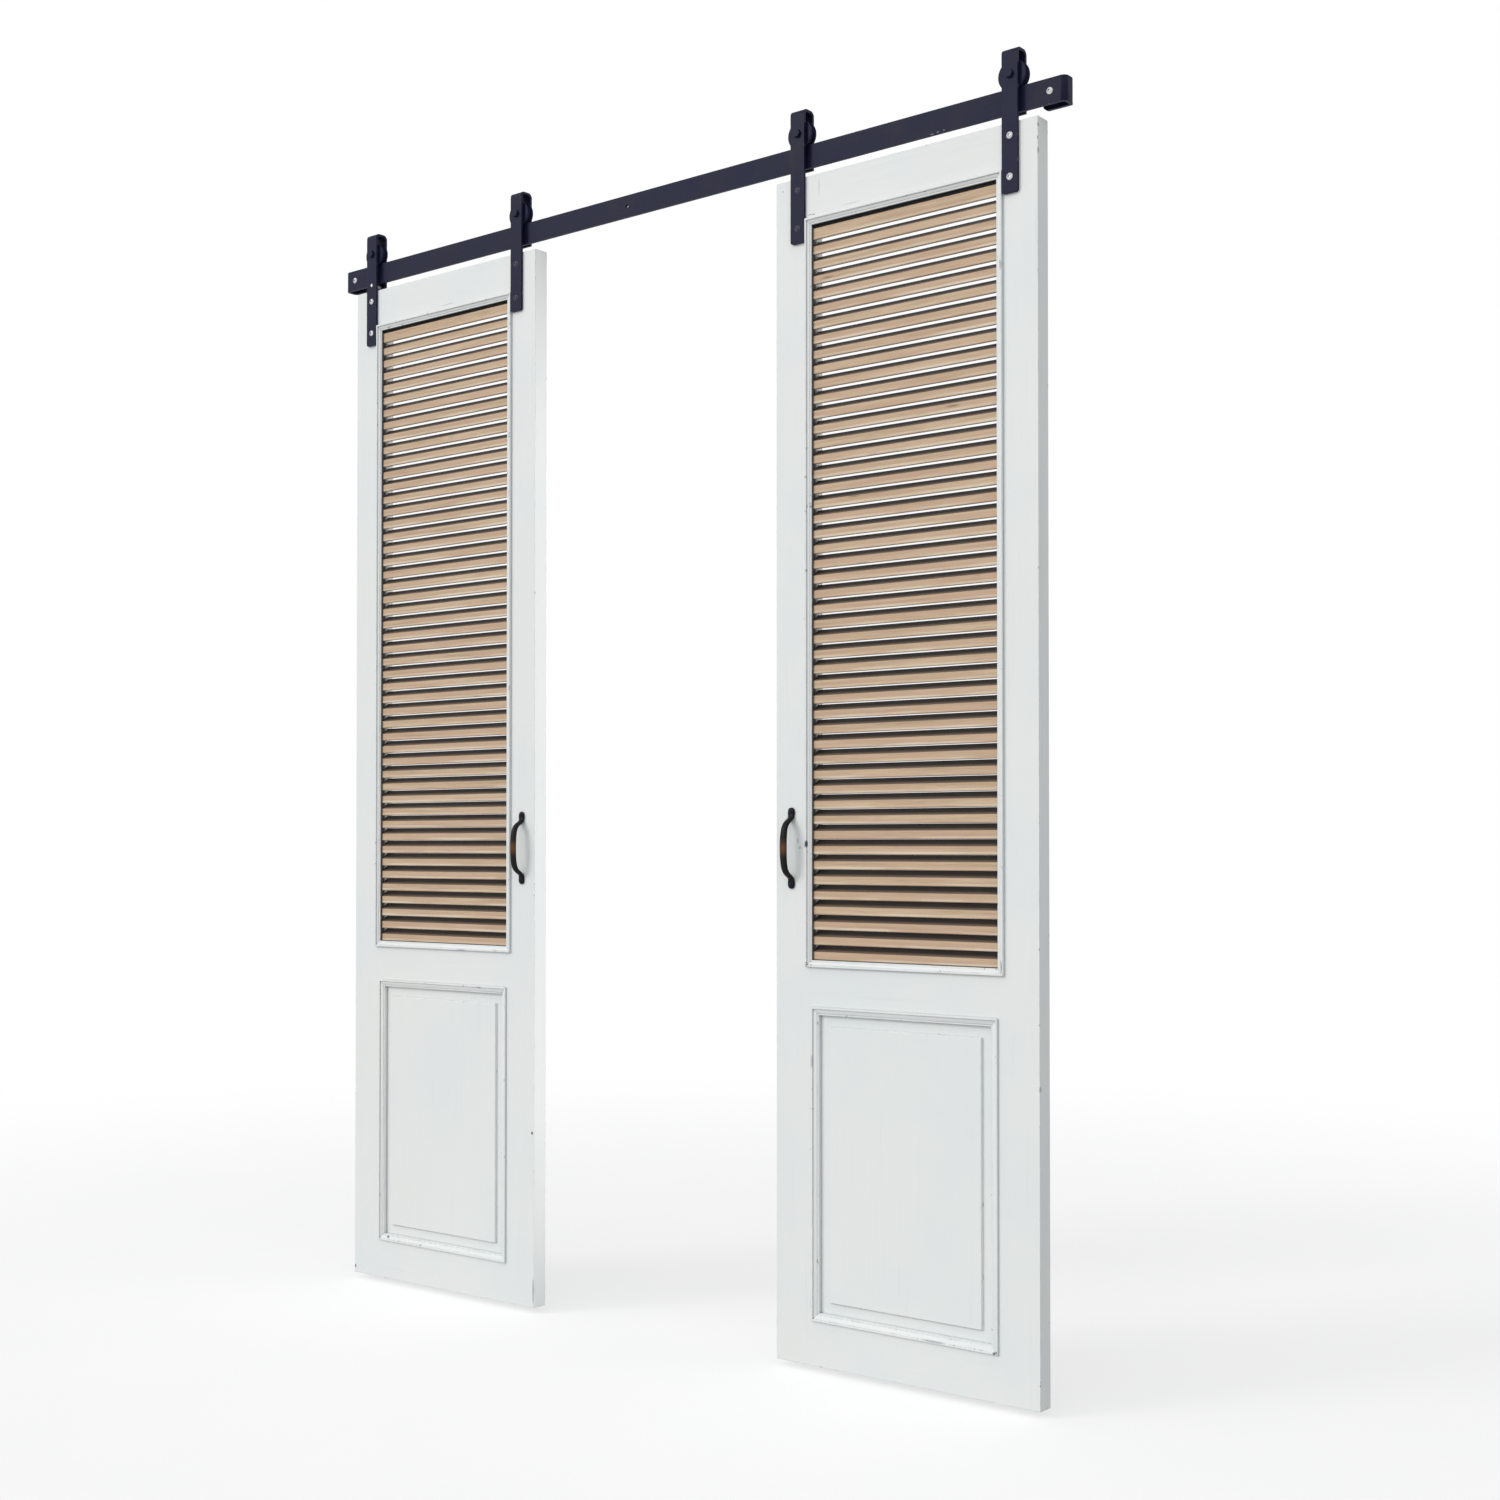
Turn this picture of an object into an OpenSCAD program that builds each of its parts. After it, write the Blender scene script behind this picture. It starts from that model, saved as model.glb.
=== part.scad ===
// Double sliding door: a pair of louvred wooden leaves that hang from one flat-bar wall track.
// X runs along the track, Y runs into the wall and Z is up. The origin is on the wall plane,
// midway between the two wall screws. All lengths are in millimetres.

/* [Leaf] */
// Height of one leaf
leaf_h = 2100; // [1900:10:2300]
// Width of one leaf
leaf_w = 536; // [480:2:600]
// Thickness of the leaf frame
leaf_t = 32; // [31:0.5:38]
// Clear width between the two leaves when they stand open
open_gap = 606; // [500:2:700]
// Clearance between the back of a leaf and the wall
wall_clear = 5; // [4:0.5:10]

/* [Frame] */
// Width of a stile
stile_w = 78; // [76:1:90]
// Height of the top rail
top_rail_h = 88; // [80:1:100]
// Height of the rail between the louvre and the panel
lock_rail_h = 82; // [76:1:100]
// Height of the bottom rail
bottom_rail_h = 79; // [76:1:120]
// Length of a tenon
tenon_l = 22; // [16:1:22]
// Thickness of a tenon
tenon_t = 10; // [8:0.5:12]
// Shoulder above and below a tenon
tenon_shoulder = 14; // [12:1:20]
// Clearance around wood joints
wood_fit = 0.2; // [0.1:0.05:0.4]

/* [Louvre] */
// Width of a slat
slat_w = 30; // [24:0.5:30]
// Thickness of a slat
slat_t = 6; // [5:0.5:6]
// Chamfer along the slat edges
slat_chamfer = 1.25; // [1.25:0.25:2]
// Angle of a slat from level, front edge down
slat_tilt = 54; // [48:1:54]
// Smallest distance between neighbouring slats
slat_pitch_min = 26.5; // [26.5:0.5:32]
// Depth of a slat's middle behind the leaf front
slat_set = 14.5; // [13:0.5:19]
// Depth of a slat's housing in the stile
housing_d = 8; // [6:0.5:12]
// Width of the bead around the louvre
louvre_bead_w = 12; // [8:0.5:12]
// Height of the louvre bead above the leaf front
louvre_bead_h = 5.5; // [5:0.25:7]

/* [Bead section] */
// Width of the raised lip along a bead's outer edge
bead_lip = 3.5; // [2:0.5:4.5]
// Drop from the lip to the shoulder
bead_quirk = 2.5; // [1.5:0.25:3]
// Fall of the rounded shoulder towards the opening
bead_fall = 1.2; // [0.8:0.1:1.6]
// Drop from the shoulder to the foot
bead_step = 0.8; // [0.4:0.1:1.2]
// Width of the foot along a bead's inner edge
bead_foot = 3; // [2:0.5:4.5]

/* [Panel] */
// Height of the panel opening
panel_open_h = 550; // [450:5:650]
// Depth of the panel margin behind the leaf front
panel_recess = 8; // [7:0.5:9]
// Thickness of the panel margin
panel_t = 14; // [10:0.5:14]
// Depth of the panel groove in the frame
groove_d = 8; // [6:0.5:10]
// Width of the margin around the raised field
field_margin = 34; // [28:1:60]
// Height of the raised field above the margin
field_rise = 5; // [3:0.5:6]
// Width of the slope at the edge of the field
field_slope = 1; // [0.5:0.5:10]
// Width of the bead around the panel
panel_bead_w = 14; // [9:0.5:15]
// Height of the panel bead above the leaf front
panel_bead_proud = 4; // [1:0.5:5]

/* [Track] */
// Height of the flat bar
rail_h = 42; // [38:1:50]
// Thickness of the flat bar
rail_t = 6; // [5:0.5:6.5]
// Length of bar beyond the outer edge of an open leaf
rail_over = 48; // [44:1:120]
// Outer radius of the bends at the ends of the bar
bend_r = 10; // [8:0.5:12]
// Length of a foot against the wall
foot_l = 56; // [50:1:70]
// Radius of the corners of a foot
foot_corner_r = 10; // [5:1:16]
// Distance from the end of the bar to a wall screw
wall_screw_inset = 30; // [28:1:32]
// Radius of a wall screw's neck, in front of the wall plane
wall_neck_r = 2.75; // [2.75:0.25:3.5]
// Radius of a wall screw behind the wall plane
wall_screw_r = 2.25; // [1.75:0.25:2.5]
// Length of a wall screw behind the wall plane
wall_screw_l = 45; // [30:5:70]
// Radius of the spare middle hole
middle_hole_r = 3.5; // [2.5:0.5:5]
// Place of the spare middle hole along the bar
middle_hole_x = -65; // [-200:5:200]

/* [Hangers] */
// Gap between the bottom of the bar and the top of a leaf
hang_gap = 17; // [14:1:30]
// Width of a hanger strap
strap_w = 30; // [26:1:34]
// Thickness of a hanger strap
strap_t = 5; // [4:0.5:6]
// Clear distance between the legs of a hanger
strap_gap = 20; // [20:0.5:22]
// Outer radius of the bends at the top of a hanger
strap_bend_r = 9; // [7:0.5:11]
// Radius of the corners at the lower end of a strap
strap_corner_r = 4; // [3:0.5:11]
// Length of a strap on the front of the leaf
strap_drop = 117; // [105:1:150]
// Height of the hanger top above its axle
strap_over = 43; // [40:1:60]
// Distance from a leaf edge to the middle of a strap
hanger_inset = 50; // [48:0.5:50]
// Distance from the leaf top to the upper strap screw
strap_screw_top = 22.5; // [20:0.5:30]
// Distance between the two screws of a strap
strap_screw_pitch = 68; // [50:1:75]
// Radius of a strap screw's shank
strap_screw_r = 2.75; // [2:0.25:3]
// Length of a strap screw in the wood
strap_screw_l = 23; // [15:1:26]
// Gap between the bar and the keeper bolt below it
keeper_gap = 1.5; // [1:0.25:3]
// Radius of the keeper bolt
keeper_r = 3; // [2.5:0.25:3]

/* [Rollers] */
// Radius of the running surface of a roller
tread_r = 20; // [16:0.5:24]
// Depth of a roller's groove
groove_depth = 6; // [4:0.5:8]
// Width of a roller
roller_w = 16; // [15:0.5:17]
// Clearance between the bar and each side of the groove floor
groove_side = 0.75; // [0.5:0.25:1]
// Widening of the groove on each side at its mouth
groove_flare = 2; // [1:0.25:2.5]
// Height of a roller's running surface above the bar
ride_clear = 0.3; // [0.3:0.1:0.6]
// Radius of an axle bolt
axle_r = 4; // [3:0.25:5]
// Running clearance of a bush on its axle bolt
axle_fit = 0.05; // [0.02:0.01:0.1]
// Wall of a roller bush
bush_wall = 3; // [2:0.25:4]
// Side play of a bush between the legs
bush_play = 0.2; // [0.2:0.1:0.4]

/* [Handles] */
// Height of the handle's middle above the leaf bottom
handle_z = 908; // [850:1:1100]
// Distance from the meeting edge to the handle's middle
handle_inset = 34; // [26:1:40]
// Distance between the ends of the bow on the leaf
bow_span = 96; // [80:1:120]
// Distance of the bow's middle line from the leaf
bow_rise = 27; // [22:0.5:32]
// Width of the bow
bow_w = 11; // [9:0.5:13]
// Thickness of the bow
bow_t = 6; // [5:0.5:8]
// Length of a handle foot
pad_l = 30; // [28:0.5:36]
// Width of a handle foot
pad_w = 13; // [13:0.5:18]
// Thickness of a handle foot
pad_t = 4; // [3:0.25:5]
// Radius of a handle screw's shank
handle_screw_r = 1.75; // [1.5:0.25:2]
// Length of a handle screw in the wood
handle_screw_l = 16; // [10:1:22]

/* [Fasteners] */
// Clearance of a screw or bolt in its hole
hole_fit = 0.05; // [0.02:0.01:0.1]
// Radius of a button head as a share of the shank radius
button_r_share = 2.2; // [2:0.1:2.3]
// Height of a button head as a share of the shank radius
button_h_share = 1.2; // [1:0.1:1.3]
// Radius of a head's hexagon socket as a share of the shank radius
socket_r_share = 0.9; // [0.7:0.05:1]
// Depth of a head's socket as a share of the head height
socket_d_share = 0.6; // [0.4:0.05:0.8]
// Corner radius of a hexagon head or nut as a share of the shank radius
hex_r_share = 1.85; // [1.7:0.05:1.9]
// Height of a hexagon head or nut as a share of the shank radius
hex_h_share = 1.2; // [0.8:0.1:1.2]

/* [Hidden] */
$fn = 64;
HEX = 6;
LEFT = -1;
RIGHT = 1;
OUTER = 0;
INNER = 1;
QUARTER_TURN = 90;
// Overrun of a cutting tool past the face that it cuts
cut_over = wood_fit;
WOOD_PAINT = [0.89, 0.9, 0.89];
SLAT_WOOD = [0.79, 0.66, 0.52];
IRON = [0.16, 0.16, 0.2];
BRONZE = [0.24, 0.19, 0.16];
ZINC = [0.75, 0.75, 0.77];

// Leaf places: the front face, the bottom edge and the heights of the openings in it
leaf_y = -wall_clear - leaf_t;
leaf_z = -rail_h / 2 - hang_gap - leaf_h;
rail_clear_w = leaf_w - 2 * stile_w;
panel_z0 = bottom_rail_h;
panel_z1 = panel_z0 + panel_open_h;
louvre_z0 = panel_z1 + lock_rail_h;
louvre_z1 = leaf_h - top_rail_h;
louvre_open_h = louvre_z1 - louvre_z0;
slat_count = floor(louvre_open_h / slat_pitch_min);
slat_pitch = louvre_open_h / slat_count;
tenon_y = (leaf_t - tenon_t) / 2;

// Track places: the middle plane of the bar and the ends of the bar
rail_y = leaf_y + strap_gap / 2;
rail_half_l = open_gap / 2 + leaf_w + rail_over;
wall_screw_x = rail_half_l - wall_screw_inset;
rail_front = rail_y - rail_t / 2;

// Hanger places, measured from the leaf front and the middle of the bar
axle_z = rail_h / 2 + tread_r + ride_clear;
strap_top = axle_z + strap_over;
strap_bottom = -rail_h / 2 - hang_gap - strap_drop;
back_leg_end = -rail_h / 2;
keeper_z = -rail_h / 2 - keeper_gap - keeper_r;
keeper_leg_end = keeper_z - 2 * keeper_r;
strap_screw_z = -rail_h / 2 - hang_gap - strap_screw_top;
bush_r = axle_r + axle_fit + bush_wall;
bush_l = strap_gap - 2 * bush_play;
flange_r = tread_r + groove_depth;
groove_w = rail_t + 2 * groove_side;

// Handle places: the arc of the bow, the outer end of each foot and its screw
bow_arc_r = (pow(bow_span / 2, 2) + pow(bow_rise, 2)) / (2 * bow_rise);
pad_end_z = bow_span / 2 - bow_t + pad_l;
handle_screw_z = pad_end_z - pad_w / 2;

// A leaf's own frame: x from the meeting edge outward, y from the leaf front, z from the leaf bottom
module on_leaf(side) {
    mirror([side == LEFT ? 1 : 0, 0, 0])
        translate([open_gap / 2, leaf_y, leaf_z])
            children();
}

// The frame of a hanger: x from its middle, y from the leaf front, z from the middle of the bar
module on_hanger(side, place) {
    on_leaf(side)
        translate([place == OUTER ? leaf_w - hanger_inset : hanger_inset, 0, -leaf_z])
            children();
}

// A stile's own frame: x from its outside edge towards the opening
module on_stile(side, place) {
    on_leaf(side)
        translate([place == OUTER ? leaf_w : 0, 0, 0])
            mirror([place == OUTER ? 1 : 0, 0, 0])
                children();
}

// The frame of a handle: y from the leaf front, z from the middle of the bow
module on_handle(side) {
    on_leaf(side)
        translate([handle_inset, 0, handle_z])
            children();
}

// An outline drawn in the y and z plane and pushed out along x
module along_x(length) {
    rotate([QUARTER_TURN, 0, QUARTER_TURN])
        linear_extrude(length)
            children();
}

// A round bar along y that starts at the local origin
module rod_y(r, length, sides = $fn) {
    rotate([-QUARTER_TURN, 0, 0])
        cylinder(r = r, h = length, $fn = sides);
}

// A screw along y: its domed head stands in front of y = 0 and has a hexagon socket
module button_screw(r, length) {
    head_r = r * button_r_share;
    head_h = r * button_h_share;
    dome_r = (pow(head_r, 2) + pow(head_h, 2)) / (2 * head_h);
    rod_y(r, length);
    difference() {
        intersection() {
            translate([0, -head_h, 0])
                rod_y(head_r, head_h);
            translate([0, dome_r - head_h, 0])
                sphere(r = dome_r);
        }
        translate([0, -head_h - cut_over, 0])
            rod_y(r * socket_r_share, head_h * socket_d_share + cut_over, HEX);
    }
}

// The end of the bar in plan: the outer bend, the return leg, the wall bend and the foot
module rail_end_plan() {
    depth = -rail_front;
    translate([rail_half_l, rail_front]) {
        translate([-bend_r, bend_r])
            square_bend(-1);
        translate([-rail_t, bend_r])
            square([rail_t, depth - 2 * bend_r]);
        translate([-bend_r, depth - bend_r])
            square_bend(1);
        translate([-foot_l, depth - rail_t])
            square([foot_l - bend_r, rail_t]);
    }
}

// A quarter of a ring between the bar and its return leg; way is -1 at the front and 1 at the wall
module square_bend(way) {
    intersection() {
        difference() {
            circle(r = bend_r);
            circle(r = bend_r - rail_t);
        }
        translate([0, way < 0 ? -bend_r : 0])
            square(bend_r);
    }
}

// Rounded corners of a foot, cut away above and below the tip
module foot_corner_cuts() {
    for (end = [-1, 1])
        translate([rail_half_l - foot_l, -rail_t - cut_over, end * rail_h / 2])
            difference() {
                translate([-cut_over, 0, end > 0 ? -foot_corner_r : -cut_over])
                    cube([foot_corner_r + cut_over, rail_t + 2 * cut_over, foot_corner_r + cut_over]);
                translate([foot_corner_r, -cut_over, -end * foot_corner_r])
                    rod_y(foot_corner_r, rail_t + 4 * cut_over);
            }
}

module track_rail() {
    color(IRON)
        difference() {
            translate([0, 0, -rail_h / 2])
                linear_extrude(rail_h) {
                    translate([-rail_half_l + bend_r, rail_front])
                        square([2 * (rail_half_l - bend_r), rail_t]);
                    rail_end_plan();
                    mirror([1, 0])
                        rail_end_plan();
                }
            for (side = [LEFT, RIGHT]) {
                translate([side * wall_screw_x, rail_front - cut_over, 0])
                    rod_y(wall_neck_r + hole_fit, -rail_front + 2 * cut_over);
                mirror([side == LEFT ? 1 : 0, 0, 0])
                    foot_corner_cuts();
            }
            translate([middle_hole_x, rail_front - cut_over, 0])
                rod_y(middle_hole_r, rail_t + 2 * cut_over);
        }
}

module wall_screws() {
    color(ZINC)
        for (side = [LEFT, RIGHT])
            translate([side * wall_screw_x, 0, 0]) {
                rod_y(wall_screw_r, wall_screw_l);
                translate([0, rail_front, 0])
                    button_screw(wall_neck_r, -rail_front);
            }
}

// A slat in section, grown by the clearance of its housing
module slat_section(grow = 0) {
    a = slat_w / 2 + grow;
    b = slat_t / 2 + grow;
    a1 = a - slat_chamfer;
    b1 = b - slat_chamfer;
    rotate(slat_tilt)
        polygon([[-a1, -b], [a1, -b], [a, -b1], [a, b1], [a1, b], [-a1, b], [-a, b1], [-a, -b1]]);
}

// All slats of one leaf, from x0 over the given length
module slat_bank(x0, length, grow = 0) {
    for (i = [0 : slat_count - 1])
        translate([x0, slat_set, louvre_z0 + (i + 1 / 2) * slat_pitch])
            along_x(length)
                slat_section(grow);
}

// A tenon's height range in the leaf for a rail between z0 and z1
module tenon(x0, length, z0, z1, grow = 0) {
    translate([x0, tenon_y - grow, z0 + tenon_shoulder - grow])
        cube([length, tenon_t + 2 * grow, z1 - z0 - 2 * tenon_shoulder + 2 * grow]);
}

// A stile with its mortises, the panel groove, the slat housings and the strap screw holes
module stile() {
    difference() {
        cube([stile_w, leaf_t, leaf_h]);
        for (z = [[0, panel_z0], [panel_z1, louvre_z0], [louvre_z1, leaf_h]])
            tenon(stile_w - tenon_l - wood_fit, tenon_l + wood_fit + cut_over, z[0], z[1], wood_fit);
        translate([stile_w - groove_d - wood_fit, panel_recess - wood_fit, panel_z0 - groove_d - wood_fit])
            cube([groove_d + wood_fit + cut_over, panel_t + 2 * wood_fit,
                panel_open_h + 2 * (groove_d + wood_fit)]);
        slat_bank(stile_w - housing_d - wood_fit, housing_d + wood_fit + cut_over, wood_fit);
        for (k = [0, 1])
            translate([hanger_inset, -cut_over, leaf_h - strap_screw_top - k * strap_screw_pitch])
                rod_y(strap_screw_r + hole_fit, strap_screw_l + hole_fit + cut_over);
    }
}

module outer_stile(side) {
    color(WOOD_PAINT)
        on_stile(side, OUTER)
            stile();
}

module inner_stile(side) {
    color(WOOD_PAINT)
        difference() {
            on_stile(side, INNER)
                stile();
            on_handle(side)
                for (end = [-1, 1])
                    translate([0, -cut_over, end * handle_screw_z])
                        rod_y(handle_screw_r + hole_fit, handle_screw_l + hole_fit + cut_over);
        }
}

// A rail between the stiles with a tenon at each end
module cross_rail(z0, z1) {
    translate([stile_w, 0, z0])
        cube([rail_clear_w, leaf_t, z1 - z0]);
    tenon(stile_w - tenon_l, rail_clear_w + 2 * tenon_l, z0, z1);
}

// The groove that takes the top or bottom edge of the panel
module panel_groove(z0) {
    translate([stile_w - cut_over, panel_recess - wood_fit, z0])
        cube([rail_clear_w + 2 * cut_over, panel_t + 2 * wood_fit, groove_d + wood_fit + cut_over]);
}

module top_rail(side) {
    color(WOOD_PAINT)
        on_leaf(side)
            cross_rail(louvre_z1, leaf_h);
}

module lock_rail(side) {
    color(WOOD_PAINT)
        on_leaf(side)
            difference() {
                cross_rail(panel_z1, louvre_z0);
                panel_groove(panel_z1 - cut_over);
            }
}

module bottom_rail(side) {
    color(WOOD_PAINT)
        on_leaf(side)
            difference() {
                cross_rail(0, panel_z0);
                panel_groove(panel_z0 - groove_d - wood_fit);
            }
}

module slats(side) {
    color(SLAT_WOOD)
        on_leaf(side)
            slat_bank(stile_w - housing_d, rail_clear_w + 2 * housing_d);
}

// The raised field is where two prisms with sloped edges cross, rooted in the panel's thickness
module raised_field() {
    field_w = rail_clear_w - 2 * field_margin;
    field_h = panel_open_h - 2 * field_margin;
    root = panel_t / 2;
    translate([stile_w + field_margin, panel_recess, panel_z0 + field_margin])
        intersection() {
            linear_extrude(field_h)
                polygon([[0, root], [field_w, root], [field_w, 0],
                    [field_w - field_slope, -field_rise], [field_slope, -field_rise], [0, 0]]);
            along_x(field_w)
                polygon([[root, 0], [root, field_h], [0, field_h],
                    [-field_rise, field_h - field_slope], [-field_rise, field_slope], [0, 0]]);
        }
}

module panel(side) {
    color(WOOD_PAINT)
        on_leaf(side) {
            translate([stile_w - groove_d, panel_recess, panel_z0 - groove_d])
                cube([rail_clear_w + 2 * groove_d, panel_t, panel_open_h + 2 * groove_d]);
            raised_field();
        }
}

// One stick of a bead: x along its long outer edge, y towards the opening, mitred at both ends
module bead_stick(length, w, h) {
    intersection() {
        along_x(length)
            children();
        linear_extrude(h)
            polygon([[0, 0], [length, 0], [length - w, w], [w, w]]);
    }
}

// The section of a bead, outer edge at 0: a raised lip, a rounded shoulder below it and a low foot
module bead_section(w, h) {
    shoulder_w = w - bead_lip - bead_foot;
    shoulder_h = h - bead_quirk;
    arc_r = (pow(shoulder_w, 2) + pow(bead_fall, 2)) / (2 * bead_fall);
    square([bead_lip, h]);
    square([w, shoulder_h - bead_fall - bead_step]);
    intersection() {
        square([bead_lip + shoulder_w, shoulder_h]);
        translate([bead_lip, shoulder_h - arc_r])
            circle(r = arc_r);
    }
}

// Place one stick around an opening: 0 bottom, 1 outer side, 2 top, 3 inner side.
// The frame of sticks is frame_w by frame_h outside and stands on a face at depth y.
module on_bead_side(turn, x0, y, z0, frame_w, frame_h) {
    corner = [[0, 0, 0], [frame_w, 0, 0], [frame_w, frame_h, 0], [0, frame_h, 0]];
    translate([x0, y, z0])
        rotate([QUARTER_TURN, 0, 0])
            translate(corner[turn])
                rotate(turn * QUARTER_TURN)
                    children();
}

// A bead that stands on the leaf front around the louvre
module louvre_bead(side, turn) {
    w = louvre_bead_w;
    h = louvre_bead_h;
    frame_w = rail_clear_w + 2 * w;
    frame_h = louvre_open_h + 2 * w;
    color(WOOD_PAINT)
        on_leaf(side)
            on_bead_side(turn, stile_w - w, 0, louvre_z0 - w, frame_w, frame_h)
                bead_stick(turn % 2 == 0 ? frame_w : frame_h, w, h)
                    bead_section(w, h);
}

// A bead in the corner between the panel and its opening
module panel_bead(side, turn) {
    w = panel_bead_w;
    h = panel_recess + panel_bead_proud;
    color(WOOD_PAINT)
        on_leaf(side)
            on_bead_side(turn, stile_w, panel_recess, panel_z0, rail_clear_w, panel_open_h)
                bead_stick(turn % 2 == 0 ? rail_clear_w : panel_open_h, w, h)
                    bead_section(w, h);
}

// The bow handle: an arc of flat bar that stands on two feet
module handle(side) {
    color(BRONZE)
        on_handle(side)
            difference() {
                union() {
                    translate([-bow_w / 2, 0, 0])
                        along_x(bow_w)
                            bow_outline();
                    for (end = [-1, 1])
                        mirror([0, 0, end < 0 ? 1 : 0])
                            handle_pad();
                }
                for (end = [-1, 1])
                    translate([0, -pad_t - cut_over, end * handle_screw_z])
                        rod_y(handle_screw_r + hole_fit, pad_t + 2 * cut_over);
            }
}

// The bow from the side: the part of a ring that stands in front of the leaf
module bow_outline() {
    intersection() {
        translate([bow_arc_r - bow_rise, 0])
            difference() {
                circle(r = bow_arc_r + bow_t / 2);
                circle(r = bow_arc_r - bow_t / 2);
            }
        translate([-bow_rise - bow_t, -bow_span])
            square([bow_rise + bow_t, 2 * bow_span]);
    }
}

// A foot of the handle: a tongue with a round outer end, under the leg of the bow
module handle_pad() {
    round_z = pad_end_z - pad_w / 2;
    translate([-pad_w / 2, -pad_t, pad_end_z - pad_l])
        cube([pad_w, pad_t, pad_l - pad_w / 2]);
    translate([0, -pad_t, round_z])
        rod_y(pad_w / 2, pad_t);
}

module handle_screws(side) {
    color(IRON)
        on_handle(side)
            for (end = [-1, 1])
                translate([0, -pad_t, end * handle_screw_z])
                    button_screw(handle_screw_r, pad_t + handle_screw_l);
}

// An upright outline with both upper corners rounded, from z0 to z1
module round_top(w, z0, z1, r) {
    translate([0, z0])
        square([w, z1 - r - z0]);
    translate([r, z1 - r])
        square([w - 2 * r, r]);
    for (x = [r, w - r])
        translate([x, z1 - r])
            circle(r = r);
}

// A hanger from the side: the long front leg, the bent top and the short back leg
module hanger_section(back_end) {
    leg_start = strap_bottom + strap_corner_r;
    difference() {
        translate([-strap_t, 0])
            round_top(strap_gap + 2 * strap_t, leg_start, strap_top, strap_bend_r);
        round_top(strap_gap, leg_start - cut_over, strap_top - strap_t, strap_bend_r - strap_t);
        translate([0, leg_start - cut_over])
            square([strap_gap + strap_t + cut_over, back_end - leg_start + cut_over]);
    }
}

// A hanger strap with its axle hole, its two screw holes and, if it is kept, its keeper hole
module hanger(side, place, kept) {
    color(IRON)
        on_hanger(side, place)
            difference() {
                union() {
                    translate([-strap_w / 2, 0, 0])
                        along_x(strap_w)
                            hanger_section(kept ? keeper_leg_end : back_leg_end);
                    strap_end();
                }
                translate([0, -strap_t - cut_over, axle_z])
                    rod_y(axle_r + hole_fit, strap_gap + 2 * (strap_t + cut_over));
                for (k = [0, 1])
                    translate([0, -strap_t - cut_over, strap_screw_z - k * strap_screw_pitch])
                        rod_y(strap_screw_r + hole_fit, strap_t + 2 * cut_over);
                if (kept)
                    translate([0, -strap_t - cut_over, keeper_z])
                        rod_y(keeper_r + hole_fit, strap_gap + 2 * (strap_t + cut_over));
            }
}

// The lower end of a strap with its two rounded corners
module strap_end() {
    flat = strap_w - 2 * strap_corner_r;
    translate([-flat / 2, -strap_t, strap_bottom])
        cube([flat, strap_t, strap_corner_r]);
    for (x = [-flat / 2, flat / 2])
        translate([x, -strap_t, strap_bottom + strap_corner_r])
            rod_y(strap_corner_r, strap_t);
}

module strap_screws(side) {
    color(ZINC)
        for (place = [OUTER, INNER])
            on_hanger(side, place)
                for (k = [0, 1])
                    translate([0, -strap_t, strap_screw_z - k * strap_screw_pitch])
                        button_screw(strap_screw_r, strap_t + strap_screw_l);
}

// A bolt through both legs with its hexagon head in front, long enough for the nut behind
module axle(side, place) {
    head_h = axle_r * hex_h_share;
    color(IRON)
        on_hanger(side, place)
            translate([0, -strap_t, axle_z]) {
                rod_y(axle_r, strap_gap + 2 * strap_t + head_h);
                translate([0, -head_h, 0])
                    rod_y(axle_r * hex_r_share, head_h, HEX);
            }
}

module axle_nuts(side) {
    nut_h = axle_r * hex_h_share;
    color(IRON)
        for (place = [OUTER, INNER])
            on_hanger(side, place)
                translate([0, strap_gap + strap_t, axle_z])
                    difference() {
                        rod_y(axle_r * hex_r_share, nut_h, HEX);
                        translate([0, -cut_over, 0])
                            rod_y(axle_r + hole_fit, nut_h + 2 * cut_over);
                    }
}

// The bolt below the bar that keeps the outer hanger of the left leaf from lifting
module keeper_bolt(side) {
    head_h = keeper_r * hex_h_share;
    color(ZINC)
        on_hanger(side, OUTER)
            translate([0, -strap_t, keeper_z]) {
                rod_y(keeper_r, strap_gap + 2 * strap_t);
                translate([0, strap_gap + 2 * strap_t, 0])
                    rod_y(keeper_r * hex_r_share, head_h, HEX);
            }
}

// A grooved roller: half of its section turned around the axle
module roller(side, place) {
    half_w = roller_w / 2;
    floor_w = groove_w / 2;
    mouth_w = floor_w + groove_flare;
    color(IRON)
        on_hanger(side, place)
            translate([0, strap_gap / 2, axle_z])
                rotate([-QUARTER_TURN, 0, 0])
                    rotate_extrude()
                        polygon([[bush_r, -half_w], [flange_r, -half_w],
                            [flange_r, -mouth_w], [tread_r, -floor_w],
                            [tread_r, floor_w], [flange_r, mouth_w],
                            [flange_r, half_w], [bush_r, half_w]]);
}

// The bush in a roller, which turns on the axle bolt and keeps the roller between the legs
module bush(side, place) {
    color(ZINC)
        on_hanger(side, place)
            translate([0, bush_play, axle_z])
                difference() {
                    rod_y(bush_r, bush_l);
                    translate([0, -cut_over, 0])
                        rod_y(axle_r + axle_fit, bush_l + 2 * cut_over);
                }
}

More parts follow.
